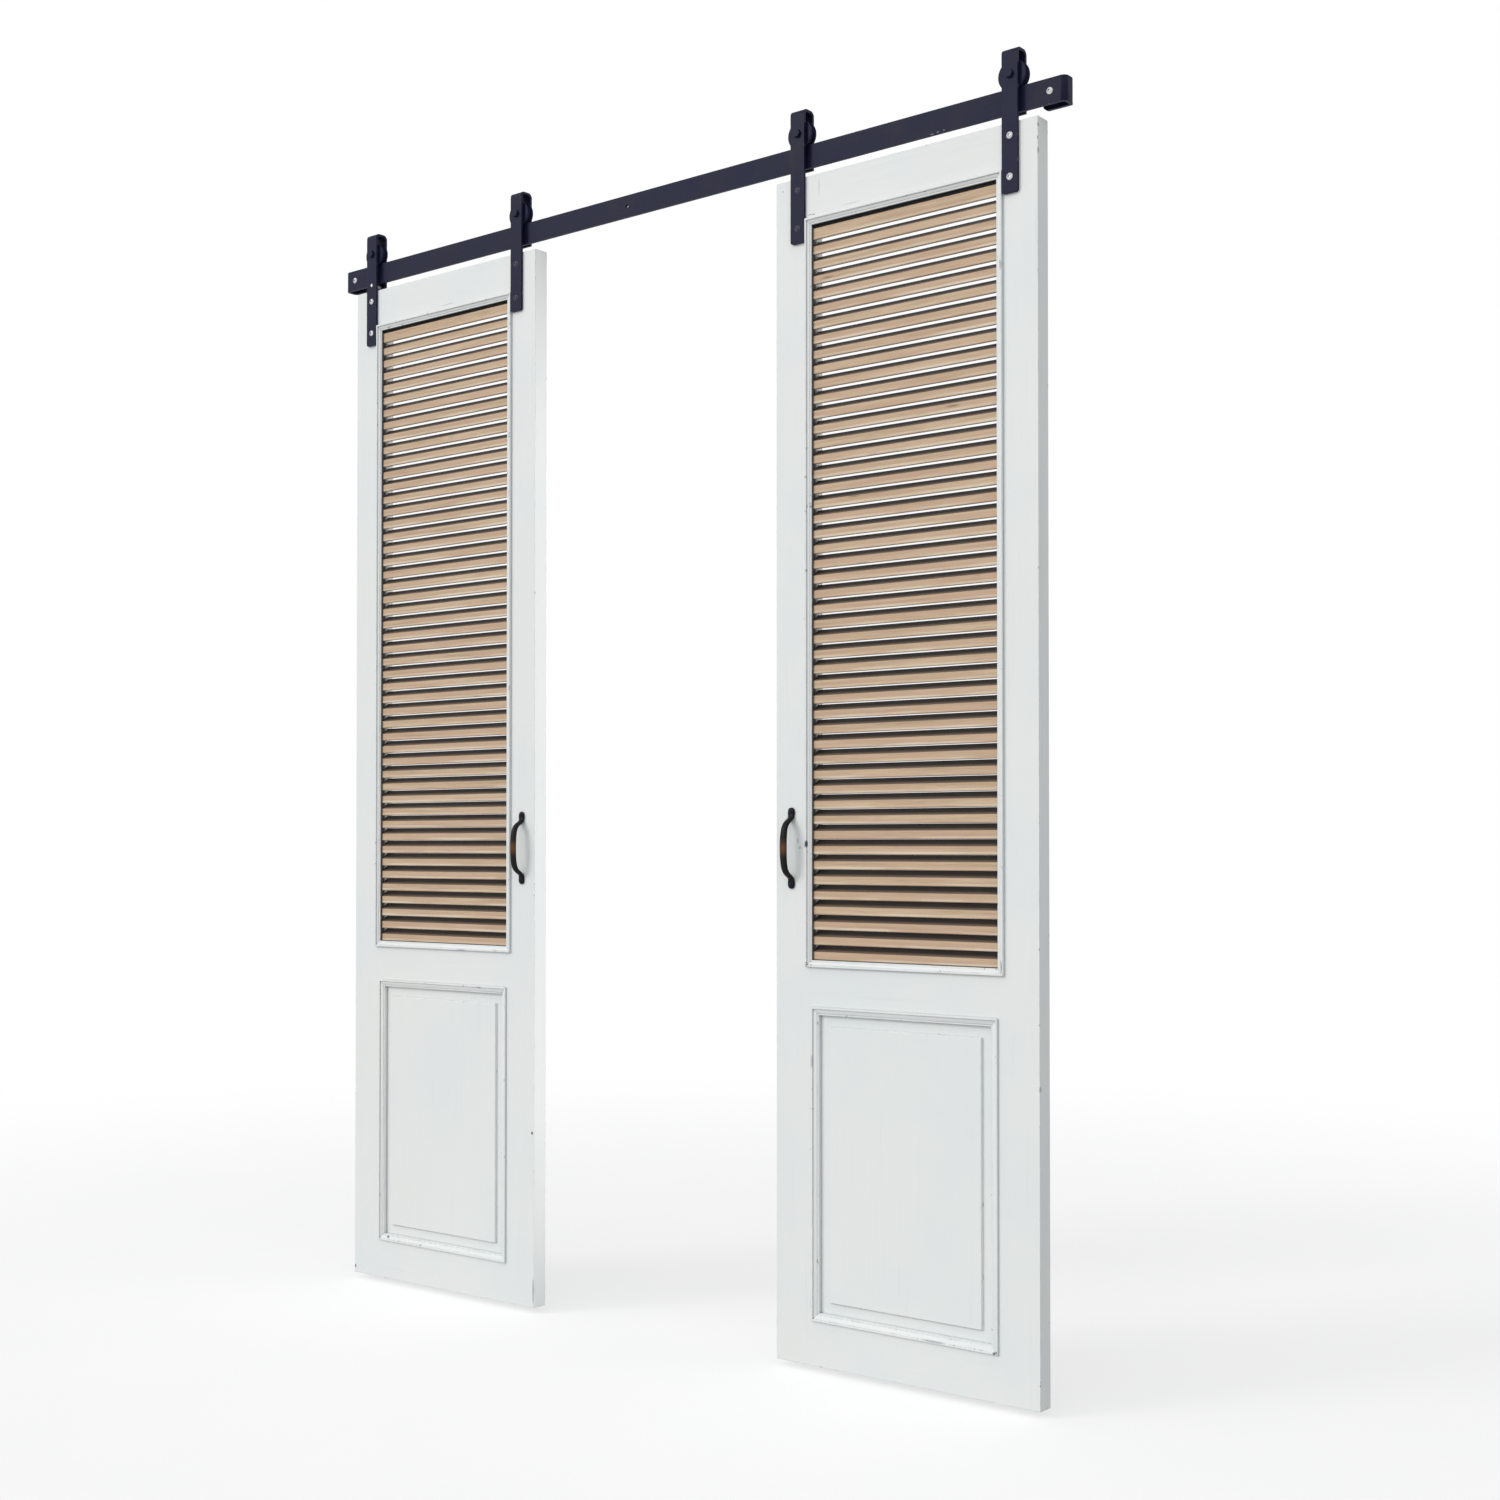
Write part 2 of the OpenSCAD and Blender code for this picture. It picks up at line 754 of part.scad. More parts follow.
track_rail();
wall_screws();
keeper_bolt(LEFT);  // left_keeper_bolt
outer_stile(LEFT);  // left_outer_stile
inner_stile(LEFT);  // left_inner_stile
top_rail(LEFT);  // left_top_rail
lock_rail(LEFT);  // left_lock_rail
bottom_rail(LEFT);  // left_bottom_rail
slats(LEFT);  // left_slats
panel(LEFT);  // left_panel
louvre_bead(LEFT, 0);  // left_louvre_bead_bottom
louvre_bead(LEFT, 1);  // left_louvre_bead_outer
louvre_bead(LEFT, 2);  // left_louvre_bead_top
louvre_bead(LEFT, 3);  // left_louvre_bead_inner
panel_bead(LEFT, 0);  // left_panel_bead_bottom
panel_bead(LEFT, 1);  // left_panel_bead_outer
panel_bead(LEFT, 2);  // left_panel_bead_top
panel_bead(LEFT, 3);  // left_panel_bead_inner
handle(LEFT);  // left_handle
handle_screws(LEFT);  // left_handle_screws
strap_screws(LEFT);  // left_strap_screws
axle_nuts(LEFT);  // left_axle_nuts
hanger(LEFT, OUTER, true);  // left_outer_hanger
axle(LEFT, OUTER);  // left_outer_axle
roller(LEFT, OUTER);  // left_outer_roller
bush(LEFT, OUTER);  // left_outer_bush
hanger(LEFT, INNER, false);  // left_inner_hanger
axle(LEFT, INNER);  // left_inner_axle
roller(LEFT, INNER);  // left_inner_roller
bush(LEFT, INNER);  // left_inner_bush
outer_stile(RIGHT);  // right_outer_stile
inner_stile(RIGHT);  // right_inner_stile
top_rail(RIGHT);  // right_top_rail
lock_rail(RIGHT);  // right_lock_rail
bottom_rail(RIGHT);  // right_bottom_rail
slats(RIGHT);  // right_slats
panel(RIGHT);  // right_panel
louvre_bead(RIGHT, 0);  // right_louvre_bead_bottom
louvre_bead(RIGHT, 1);  // right_louvre_bead_outer
louvre_bead(RIGHT, 2);  // right_louvre_bead_top
louvre_bead(RIGHT, 3);  // right_louvre_bead_inner
panel_bead(RIGHT, 0);  // right_panel_bead_bottom
panel_bead(RIGHT, 1);  // right_panel_bead_outer
panel_bead(RIGHT, 2);  // right_panel_bead_top
panel_bead(RIGHT, 3);  // right_panel_bead_inner
handle(RIGHT);  // right_handle
handle_screws(RIGHT);  // right_handle_screws
strap_screws(RIGHT);  // right_strap_screws
axle_nuts(RIGHT);  // right_axle_nuts
hanger(RIGHT, OUTER, false);  // right_outer_hanger
axle(RIGHT, OUTER);  // right_outer_axle
roller(RIGHT, OUTER);  // right_outer_roller
bush(RIGHT, OUTER);  // right_outer_bush
hanger(RIGHT, INNER, false);  // right_inner_hanger
axle(RIGHT, INNER);  // right_inner_axle
roller(RIGHT, INNER);  // right_inner_roller
bush(RIGHT, INNER);  // right_inner_bush
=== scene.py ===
"""Double sliding door: two louvred leaves on a flat-bar track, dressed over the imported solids."""

import logging
import math
from dataclasses import astuple, dataclass, replace
from enum import Enum
from typing import NamedTuple, Sequence, Union

import bmesh
import bpy
from mathutils import Euler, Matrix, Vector


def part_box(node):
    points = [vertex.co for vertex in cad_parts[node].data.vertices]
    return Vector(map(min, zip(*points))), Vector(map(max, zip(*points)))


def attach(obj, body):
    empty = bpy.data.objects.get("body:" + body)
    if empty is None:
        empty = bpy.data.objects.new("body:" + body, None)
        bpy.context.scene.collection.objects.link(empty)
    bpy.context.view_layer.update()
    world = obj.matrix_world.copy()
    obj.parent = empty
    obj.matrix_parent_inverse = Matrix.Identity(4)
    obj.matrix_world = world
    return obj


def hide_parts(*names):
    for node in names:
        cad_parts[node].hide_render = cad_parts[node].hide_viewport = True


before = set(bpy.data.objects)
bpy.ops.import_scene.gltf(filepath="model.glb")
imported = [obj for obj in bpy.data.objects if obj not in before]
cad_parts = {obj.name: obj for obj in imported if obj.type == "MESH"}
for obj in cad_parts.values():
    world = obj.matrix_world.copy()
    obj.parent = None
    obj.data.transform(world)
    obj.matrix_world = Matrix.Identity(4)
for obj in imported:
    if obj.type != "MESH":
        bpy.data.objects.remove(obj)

LOG = logging.getLogger("sliding_door")
# In metres: the fronts of the leaves, beads and bar, how deep a mark goes, and the top slat's higher front.
LEAF_FRONT = -0.037
BEAD_FRONT = -0.0405
BAR_FRONT = -0.030
MARK_DEPTH = 0.006
TOP_SLAT_RISE = 0.0055
EDGE_SAMPLES = 6
BLACK = (0.0, 0.0, 0.0)
WHITE = (1.0, 1.0, 1.0)
ORIGIN = (0.0, 0.0, 0.0)

Socket = bpy.types.NodeSocket
Colour = tuple[float, float, float]
Point = tuple[float, float, float]
Pair = tuple[float, float]
Input = Union[Socket, float, Sequence[float]]


class Grain(Enum):
    """The way that the wood's grain and the brush marks run."""

    UPRIGHT = (70.0, 70.0, 1.6)
    LEVEL = (1.6, 70.0, 70.0)


class Side(Enum):
    """Which of the two leaves."""

    LEFT = "left"
    RIGHT = "right"

    @property
    def sign(self) -> float:
        """Gives the way along the bar from its middle to this leaf."""
        return -1.0 if self is Side.LEFT else 1.0


class Ramp(NamedTuple):
    """A smooth change: from the first input to the second, the output runs over a range."""

    low: float
    high: float
    to: Pair = (0.0, 1.0)

    def times(self, share: float) -> "Ramp":
        """Gives the same change with a share of its output."""
        return Ramp(self.low, self.high, (self.to[0] * share, self.to[1] * share))


class Noise(NamedTuple):
    """A soft noise: its scale, how many finer layers it has, how strong they are and its twist."""

    scale: float
    detail: float = 3.0
    rough: float = 0.55
    twist: float = 0.0


class Bump(NamedTuple):
    """A fine relief: how much of it shows, and the real depth of a full step in metres."""

    strength: float
    depth: float


@dataclass(frozen=True)
class Opening:
    """The louvre's opening in a leaf, measured outward from the middle of the bar, in metres."""

    inner: float
    outer: float
    low: float
    high: float
    front: float
    count: int = 49

    @property
    def pitch(self) -> float:
        """Gives the distance between neighbouring slats."""
        return (self.high - self.low) / self.count

    @classmethod
    def between_beads(cls) -> "Opening":
        """Measures the opening from the four beads around it.

        Returns:
            The opening.
        """
        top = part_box("right_louvre_bead_top")
        return cls(inner=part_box("right_louvre_bead_inner")[1].x, outer=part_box("right_louvre_bead_outer")[0].x,
                   low=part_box("right_louvre_bead_bottom")[1].z, high=top[0].z, front=top[1].y)


@dataclass(frozen=True)
class Mark:
    """A small mark at one place on a surface, such as a crack, a nail hole or a chip."""

    centre: Point
    reach: Point
    colour: Colour
    strength: float
    ragged: float = 0.6
    core: float = 0.55


class Nodes:
    """A tree of shader nodes under construction."""

    def __init__(self, tree: bpy.types.NodeTree) -> None:
        """Empties the tree that is to be filled."""
        self.tree = tree
        tree.nodes.clear()

    def add(self, kind: str, **settings: object) -> bpy.types.Node:
        """Adds one node.

        Args:
            kind: The node's type name.
            settings: Attributes to set on it.

        Returns:
            The new node.
        """
        node = self.tree.nodes.new(kind)
        for key, value in settings.items():
            setattr(node, key, value)
        return node

    def feed(self, socket: Socket, value: Input) -> None:
        """Links a socket to another one, or sets its value.

        Args:
            socket: The input to feed.
            value: A socket, a number, a vector or a colour.
        """
        if isinstance(value, bpy.types.NodeSocket):
            self.tree.links.new(value, socket)
        elif isinstance(value, (int, float)):
            socket.default_value = value
        else:
            size = len(socket.default_value)
            socket.default_value = (*value, 1.0)[:size]

    def sum(self, how: str, a: Input, b: Input = 0.0, clamp: bool = False) -> Socket:
        """Combines two numbers.

        Args:
            how: The operation's name.
            a: The first number.
            b: The second number.
            clamp: Whether the result is kept between 0 and 1.

        Returns:
            The result's socket.
        """
        node = self.add("ShaderNodeMath", operation=how, use_clamp=clamp)
        self.feed(node.inputs[0], a)
        self.feed(node.inputs[1], b)
        return node.outputs[0]

    def times(self, a: Input, b: Input) -> Socket:
        """Multiplies two numbers."""
        return self.sum("MULTIPLY", a, b)

    def less(self, a: Input, b: Input) -> Socket:
        """Takes the second number from the first."""
        return self.sum("SUBTRACT", a, b)

    def spread(self, value: Input, low: float, high: float, to: Pair = (0.0, 1.0)) -> Socket:
        """Stretches a number's range smoothly to another range.

        Args:
            value: The number.
            low: The input that gives the first end of the new range.
            high: The input that gives the second end.
            to: The new range.

        Returns:
            The result's socket.
        """
        node = self.add("ShaderNodeMapRange", interpolation_type="SMOOTHSTEP")
        self.feed(node.inputs["Value"], value)
        for key, number in zip(("From Min", "From Max", "To Min", "To Max"), (low, high, *to)):
            self.feed(node.inputs[key], number)
        return node.outputs["Result"]

    def split(self, vector: Socket) -> bpy.types.NodeOutputs:
        """Splits a vector.

        Args:
            vector: The vector.

        Returns:
            The sockets of its coordinates, by their names.
        """
        node = self.add("ShaderNodeSeparateXYZ")
        self.feed(node.inputs[0], vector)
        return node.outputs

    def looked_at(self) -> Socket:
        """Masks what the camera sees, straight or in metal and glass.

        Returns:
            1 where it is seen so and 0 where it only gives light.
        """
        ray = self.add("ShaderNodeLightPath").outputs
        seen = self.sum("MAXIMUM", ray["Is Camera Ray"], ray["Is Glossy Ray"])
        return self.sum("MAXIMUM", seen, ray["Is Transmission Ray"])


class Shade(Nodes):
    """One material under construction, and the surface that its nodes feed."""

    edge_turn: Ramp = Ramp(0.004, 0.10)
    mark_rim: Noise = Noise(420.0, 2.0)

    def __init__(self, name: str) -> None:
        """Starts an empty material with a surface shader.

        Args:
            name: The material's name.
        """
        self.material = bpy.data.materials.new(name)
        self.material.use_nodes = True
        super().__init__(self.material.node_tree)
        out = self.add("ShaderNodeOutputMaterial")
        self.surface = self.add("ShaderNodeBsdfPrincipled")
        self.feed(out.inputs["Surface"], self.surface.outputs["BSDF"])
        self.place = self.add("ShaderNodeTexCoord").outputs["Object"]

    def close(self, inputs: dict[str, Input]) -> bpy.types.Material:
        """Feeds the surface.

        Args:
            inputs: What goes into its sockets, by their names.

        Returns:
            The finished material.
        """
        for key, value in inputs.items():
            self.feed(self.surface.inputs[key], value)
        return self.material

    def within(self, value: Input, low: float, high: float, soft: float) -> Socket:
        """Gives 1 where a number is in a range and 0 outside it; soft is half the width of its ends."""
        rise = self.spread(value, low - soft, low + soft)
        return self.times(rise, self.spread(value, high + soft, high - soft))

    def axis(self, name: str) -> Socket:
        """Gives one coordinate of the place on the part, in metres."""
        return self.split(self.place)[name]

    def away(self) -> Socket:
        """Gives the distance along the bar from its middle, in metres."""
        return self.sum("ABSOLUTE", self.axis("X"))

    def stretched(self, scale: Point, shift: Input = ORIGIN) -> Socket:
        """Gives the place on the part, scaled along each axis.

        Args:
            scale: The factor along each axis.
            shift: An offset that is added after the scaling.

        Returns:
            The scaled place.
        """
        node = self.add("ShaderNodeVectorMath", operation="MULTIPLY_ADD")
        for socket, value in zip(node.inputs, (self.place, scale, shift)):
            self.feed(socket, value)
        return node.outputs[0]

    def noise(self, vector: Socket, kind: Noise) -> Socket:
        """Adds soft noise.

        Args:
            vector: Where the noise is read.
            kind: The noise.

        Returns:
            The noise, about 0 to 1.
        """
        node = self.add("ShaderNodeTexNoise")
        self.feed(node.inputs["Vector"], vector)
        for key, number in zip(("Scale", "Detail", "Roughness", "Distortion"), kind):
            self.feed(node.inputs[key], number)
        return node.outputs["Fac"]

    def cells(self, vector: Socket) -> Socket:
        """Scatters points about 1 apart.

        Args:
            vector: Where they are read.

        Returns:
            The distance to the nearest point.
        """
        node = self.add("ShaderNodeTexVoronoi", feature="F1")
        self.feed(node.inputs["Vector"], vector)
        self.feed(node.inputs["Scale"], 1.0)
        return node.outputs["Distance"]

    def blend(self, share: Input, a: Input, b: Input) -> Socket:
        """Mixes two colours.

        Args:
            share: How much of the second colour there is.
            a: The first colour.
            b: The second colour.

        Returns:
            The mixed colour.
        """
        node = self.add("ShaderNodeMix", data_type="RGBA", blend_type="MIX")
        self.feed(node.inputs["Factor"], share)
        self.feed(node.inputs["A"], a)
        self.feed(node.inputs["B"], b)
        return node.outputs["Result"]

    def rounded(self, radius: Input) -> Socket:
        """Runs the surface smoothly over sharp edges.

        Args:
            radius: The edges' radius, in metres.

        Returns:
            The smooth normal.
        """
        node = self.add("ShaderNodeBevel", samples=EDGE_SAMPLES)
        self.feed(node.inputs["Radius"], radius)
        return node.outputs["Normal"]

    def arris(self, radius: Input) -> Socket:
        """Finds the sharp edges of the part.

        Args:
            radius: How far from an edge it still counts, in metres.

        Returns:
            1 on an edge and 0 away from it.
        """
        dot = self.add("ShaderNodeVectorMath", operation="DOT_PRODUCT")
        self.feed(dot.inputs[0], self.rounded(radius))
        self.feed(dot.inputs[1], self.add("ShaderNodeNewGeometry").outputs["Normal"])
        return self.spread(self.less(1.0, dot.outputs["Value"]), *self.edge_turn)

    def hollow(self, reach: float) -> Socket:
        """Finds narrow corners, for laying painted shade and grime into them.

        Args:
            reach: How far a neighbouring surface still counts, in metres.

        Returns:
            1 deep in a corner and 0 in the open.
        """
        node = self.add("ShaderNodeAmbientOcclusion", samples=EDGE_SAMPLES)
        self.feed(node.inputs["Distance"], reach)
        return self.sum("SUBTRACT", 1.0, node.outputs["AO"], clamp=True)

    def spot(self, mark: Mark) -> Socket:
        """Masks one small mark.

        Args:
            mark: The mark's place, size and strength.

        Returns:
            The mark's strength at each place.
        """
        scale = tuple(1.0 / reach for reach in mark.reach)
        shift = tuple(-c * s for c, s in zip(mark.centre, scale))
        length = self.add("ShaderNodeVectorMath", operation="LENGTH")
        self.feed(length.inputs[0], self.stretched(scale, shift))
        rough = self.times(self.noise(self.place, self.mark_rim), mark.ragged)
        edge = self.sum("ADD", length.outputs["Value"], rough)
        return self.spread(edge, 1.0 + mark.ragged / 2, mark.core + mark.ragged / 2, (0.0, mark.strength))

    def marked(self, colour: Input, marks: Sequence[Mark]) -> Input:
        """Lays marks over a colour.

        Args:
            colour: The colour below.
            marks: The marks, first one lowest.

        Returns:
            The marked colour.
        """
        for mark in marks:
            colour = self.blend(self.spot(mark), colour, mark.colour)
        return colour

    def relief(self, height: Socket, bump: Bump, over: Socket) -> Socket:
        """Turns a height into a bumped normal.

        Args:
            height: The height, 0 to 1.
            bump: How strong and how deep it is.
            over: The normal that it is laid over.

        Returns:
            The bumped normal.
        """
        node = self.add("ShaderNodeBump")
        for key, value in zip(("Strength", "Distance", "Height", "Normal"), (*bump, height, over)):
            self.feed(node.inputs[key], value)
        return node.outputs["Normal"]


@dataclass(frozen=True)
class PaintedWood:
    """Worn off-white paint, brushed on wood, with grey rubbed edges, grime and painted shade in the corners, and
    near-black painted shade on the inside faces of the louvre's opening.
    """

    name: str
    grain: Grain
    opening: Opening
    jointed: bool = False
    marks: tuple[Mark, ...] = ()
    # How strongly the corners and seams are darkened, by grime and painted shade.
    soil_and_shade: float = 1.0
    paint: Colour = (0.770, 0.795, 0.790)
    cool: Colour = (0.748, 0.782, 0.785)
    warm: Colour = (0.780, 0.788, 0.776)
    # Grey for grime in the brush marks, and for grime and painted shade in corners and seams.
    dirt_and_shade: Colour = (0.36, 0.38, 0.42)
    rubbed: Colour = (0.43, 0.42, 0.42)
    bare: Colour = (0.17, 0.15, 0.14)
    # Near-black painted shade for the inside faces of the louvre's opening.
    reveal_shade: Colour = (0.016, 0.015, 0.016)
    brush: Noise = Noise(3.0, 4.0, 0.6)
    fibre: Noise = Noise(11.0, 3.0, 0.6)
    cloud: Noise = Noise(5.0, 3.0, 0.5)
    drift: Noise = Noise(2.1, 2.0, 0.5)
    patch: Noise = Noise(26.0, 4.0, 0.65)
    fleck: Noise = Noise(60.0, 3.0, 0.7)
    cool_ramp: Ramp = Ramp(0.38, 0.66)
    warm_ramp: Ramp = Ramp(0.50, 0.72, (0.0, 0.8))
    brush_ramp: Ramp = Ramp(0.56, 0.80, (0.0, 0.09))
    corner_ramp: Ramp = Ramp(0.30, 0.95, (0.0, 0.55))
    seam_ramp: Ramp = Ramp(0.20, 0.52, (0.0, 0.62))
    patch_ramp: Ramp = Ramp(0.46, 0.62)
    fleck_ramp: Ramp = Ramp(0.645, 0.70)
    rough_ramp: Ramp = Ramp(0.2, 0.8, (0.46, 0.62))
    corner_reach: float = 0.010
    seam_reach: float = 0.0035
    rub_reach: float = 0.0022
    rub_share: float = 0.34
    chip_reach: float = 0.0034
    brush_height: float = 0.7
    fibre_height: float = 0.3
    chip_height: float = 0.8
    bump: Bump = Bump(0.24, 0.0006)
    edge_radius: float = 0.0012
    gloss: float = 0.35
    joint_reach: float = 0.006
    joint_soft: float = 0.001
    reveal_slack: float = 0.0008
    reveal_soft: float = 0.0004
    reveal_start: Ramp = Ramp(0.0004, 0.0016, (0.0, 0.94))
    reveal_depth: float = 0.013
    reveal_fade: float = 0.004

    def material(self) -> bpy.types.Material:
        """Builds the paint.

        Returns:
            The finished material.
        """
        shade = Shade(self.name)
        along = shade.stretched(self.grain.value)
        brush = shade.noise(along, self.brush)
        fibre = shade.noise(along, self.fibre)
        cloud = shade.noise(shade.place, self.cloud)
        drift = shade.noise(shade.place, self.drift)
        colour = shade.blend(shade.spread(cloud, *self.cool_ramp), self.paint, self.cool)
        colour = shade.blend(shade.spread(drift, *self.warm_ramp), colour, self.warm)
        colour = shade.blend(shade.spread(brush, *self.brush_ramp), colour, self.dirt_and_shade)
        # Painted shade, with some grime: narrow corners and seams are darkened.
        corner = shade.spread(shade.hollow(self.corner_reach), *self.corner_ramp.times(self.soil_and_shade))
        seam = shade.spread(shade.hollow(self.seam_reach), *self.seam_ramp.times(self.soil_and_shade))
        colour = shade.blend(shade.sum("MAXIMUM", corner, seam), colour, self.dirt_and_shade)
        patch = shade.spread(shade.noise(shade.place, self.patch), *self.patch_ramp)
        worn = shade.times(shade.arris(self.edge(shade, self.rub_reach)), patch)
        colour = shade.blend(shade.times(worn, self.rub_share), colour, self.rubbed)
        fleck = shade.spread(shade.noise(shade.place, self.fleck), *self.fleck_ramp)
        chip = shade.times(shade.arris(self.edge(shade, self.chip_reach)), fleck)
        colour = shade.blend(chip, colour, self.bare)
        # Near-black painted shade on the inside faces of the louvre's opening.
        colour = shade.blend(self.reveal_shade_mask(shade), colour, self.reveal_shade)
        height = shade.sum("ADD", shade.times(brush, self.brush_height),
                           shade.times(fibre, self.fibre_height))
        height = shade.less(height, shade.times(chip, self.chip_height))
        return shade.close({
            "Base Color": shade.marked(colour, self.marks),
            "Roughness": shade.spread(brush, *self.rough_ramp),
            "Specular IOR Level": self.gloss,
            "Normal": shade.relief(height, self.bump, shade.rounded(self.edge(shade, self.edge_radius))),
        })

    def edge(self, shade: Shade, radius: float) -> Input:
        """Gives the reach of an edge, 0 at the painted-over joints of stiles and rails.

        Args:
            shade: The material under construction.
            radius: The reach away from the joints, in metres.

        Returns:
            The reach at each place.
        """
        if not self.jointed:
            return radius
        away = shade.away()
        ends = [shade.within(away, x - self.joint_reach, x + self.joint_reach, self.joint_soft)
                for x in (self.opening.inner, self.opening.outer)]
        return shade.times(shade.less(1.0, shade.sum("MAXIMUM", *ends)), radius)

    def reveal_shade_mask(self, shade: Shade) -> Socket:
        """Masks the inside faces of the louvre's opening, for near-black painted shade that fades towards the
        back.

        Args:
            shade: The material under construction.

        Returns:
            The mask.
        """
        room, slack = self.opening, self.reveal_slack
        away = shade.within(shade.away(), room.inner - slack, room.outer + slack, self.reveal_soft)
        level = shade.within(shade.axis("Z"), room.low - slack, room.high + slack, self.reveal_soft)
        start, back = self.reveal_start, room.front + self.reveal_depth
        deep = shade.spread(shade.axis("Y"), room.front + start.low, room.front + start.high, start.to)
        fade = shade.spread(shade.axis("Y"), back + self.reveal_fade, back - self.reveal_fade)
        return shade.times(shade.times(away, level), shade.times(deep, fade))


@dataclass(frozen=True)
class SlatWood:
    """Bare light slat wood with long grain, a tone of its own for each slat, streaks, small knots, and painted
    shade behind the fronts and at the ends.
    """

    name: str
    opening: Opening
    middle_y: float
    tilt: float = 54.0
    half_w: float = 0.015
    nose_top: float = 0.0015
    pale: Colour = (0.62, 0.470, 0.320)
    tan: Colour = (0.49, 0.350, 0.228)
    grain: Colour = (0.32, 0.205, 0.128)
    # brown and shadow are painted shade, on the slopes behind the fronts, at the slat ends and in the corners.
    brown: Colour = (0.070, 0.047, 0.034)
    ruddy: Colour = (0.53, 0.345, 0.245)
    knot: Colour = (0.13, 0.078, 0.048)
    pale_rub_and_highlight: Colour = (0.80, 0.71, 0.58)
    shadow: Colour = (0.010, 0.008, 0.007)
    leaf_seed: float = 0.37
    tone_shift: float = 37.0
    slat_shift: float = 1.7
    ring_scale: Point = (2.4, 55.0, 55.0)
    rings: Noise = Noise(2.2, 5.0, 0.62, 0.6)
    fibre_scale: Point = (9.0, 260.0, 260.0)
    fibre: Noise = Noise(3.0, 3.0, 0.6)
    streak_scale: Point = (4.0, 150.0, 150.0)
    streak: Noise = Noise(1.0, 3.0, 0.6)
    knot_scale: Point = (5.0, 30.0, 30.0)
    rub_scale: Point = (6.0, 80.0, 80.0)
    rub: Noise = Noise(1.0)
    tan_ramp: Ramp = Ramp(0.30, 0.70)
    ring_ramp: Ramp = Ramp(0.60, 0.78, (0.0, 0.50))
    fibre_ramp: Ramp = Ramp(0.50, 0.74, (0.0, 0.36))
    tone_ramp: Ramp = Ramp(0.1, 0.95, (0.0, 0.34))
    streak_ramp: Ramp = Ramp(0.48, 0.64, (0.0, 0.55))
    knot_ramp: Ramp = Ramp(0.10, 0.03, (0.0, 0.60))
    face_ramp: Ramp = Ramp(0.0005, 0.0020)
    slope_ramp: Ramp = Ramp(-0.0006, 0.0003, (0.0, 0.86))
    depth_ramp: Ramp = Ramp(0.0008, 0.0055, (0.0, 0.95))
    rub_ramp: Ramp = Ramp(0.36, 0.66, (0.05, 0.60))
    nose_reach: Pair = (0.0032, 0.0012)
    end_reach: float = 0.004
    end_share: float = 0.60
    corner_reach: float = 0.016
    corner_ramp: Ramp = Ramp(0.50, 1.0, (0.0, 0.60))
    rough_ramp: Ramp = Ramp(0.2, 0.8, (0.50, 0.70))
    bump: Bump = Bump(0.30, 0.0004)
    edge_radius: float = 0.0012
    gloss: float = 0.30

    def material(self) -> bpy.types.Material:
        """Builds the wood.

        Returns:
            The finished material.
        """
        shade = Shade(self.name)
        height = shade.less(shade.axis("Z"), self.opening.low)
        number = shade.sum("FLOOR", shade.sum("DIVIDE", height, self.opening.pitch))
        leaf = shade.sum("SIGN", shade.axis("X"))
        seed = shade.sum("ADD", number, shade.times(leaf, self.leaf_seed))
        white = shade.add("ShaderNodeTexWhiteNoise", noise_dimensions="1D")
        shade.feed(white.inputs["W"], seed)
        tone = white.outputs["Value"]
        combine = shade.add("ShaderNodeCombineXYZ")
        shade.feed(combine.inputs["X"], shade.times(tone, self.tone_shift))
        shade.feed(combine.inputs["Y"], shade.times(seed, self.slat_shift))
        shift = combine.outputs[0]
        rings = shade.noise(shade.stretched(self.ring_scale, shift), self.rings)
        fibre = shade.noise(shade.stretched(self.fibre_scale, shift), self.fibre)
        streak = shade.noise(shade.stretched(self.streak_scale, shift), self.streak)
        knots = shade.cells(shade.stretched(self.knot_scale, shift))
        colour = shade.blend(shade.spread(rings, *self.tan_ramp), self.pale, self.tan)
        colour = shade.blend(shade.spread(rings, *self.ring_ramp), colour, self.grain)
        colour = shade.blend(shade.spread(fibre, *self.fibre_ramp), colour, self.grain)
        colour = shade.blend(shade.spread(tone, *self.tone_ramp), colour, self.ruddy)
        colour = shade.blend(shade.spread(streak, *self.streak_ramp), colour, self.ruddy)
        colour = shade.blend(shade.spread(knots, *self.knot_ramp), colour, self.knot)
        return shade.close({
            "Base Color": self.painted_shade_and_wear(shade, colour, height, number),
            "Roughness": shade.spread(fibre, *self.rough_ramp),
            "Specular IOR Level": self.gloss,
            "Normal": shade.relief(fibre, self.bump, shade.rounded(self.edge_radius)),
        })

    def painted_shade_and_wear(self, shade: Shade, colour: Socket, height: Socket, number: Socket) -> Socket:
        """Paints shade on the slopes behind the slats' fronts, at their ends and in the corners, and rubs their
        front edges pale, partly as a painted highlight.

        Args:
            shade: The material under construction.
            colour: The clean wood.
            height: The height above the foot of the opening.
            number: The slat's number.

        Returns:
            The shaded and rubbed wood.
        """
        turn = math.radians(self.tilt)
        rise = shade.less(height, shade.times(shade.sum("ADD", number, 0.5), self.opening.pitch))
        is_top = shade.sum("GREATER_THAN", number, self.opening.count - 1.5)
        above = shade.less(shade.less(rise, shade.times(is_top, TOP_SLAT_RISE)), self.nose_top)
        deep = shade.less(shade.axis("Y"), self.middle_y)
        across = shade.sum("ADD", shade.times(deep, math.cos(turn)), shade.times(rise, math.sin(turn)))
        out = shade.less(shade.times(rise, math.cos(turn)), shade.times(deep, math.sin(turn)))
        face = shade.spread(out, *self.face_ramp)
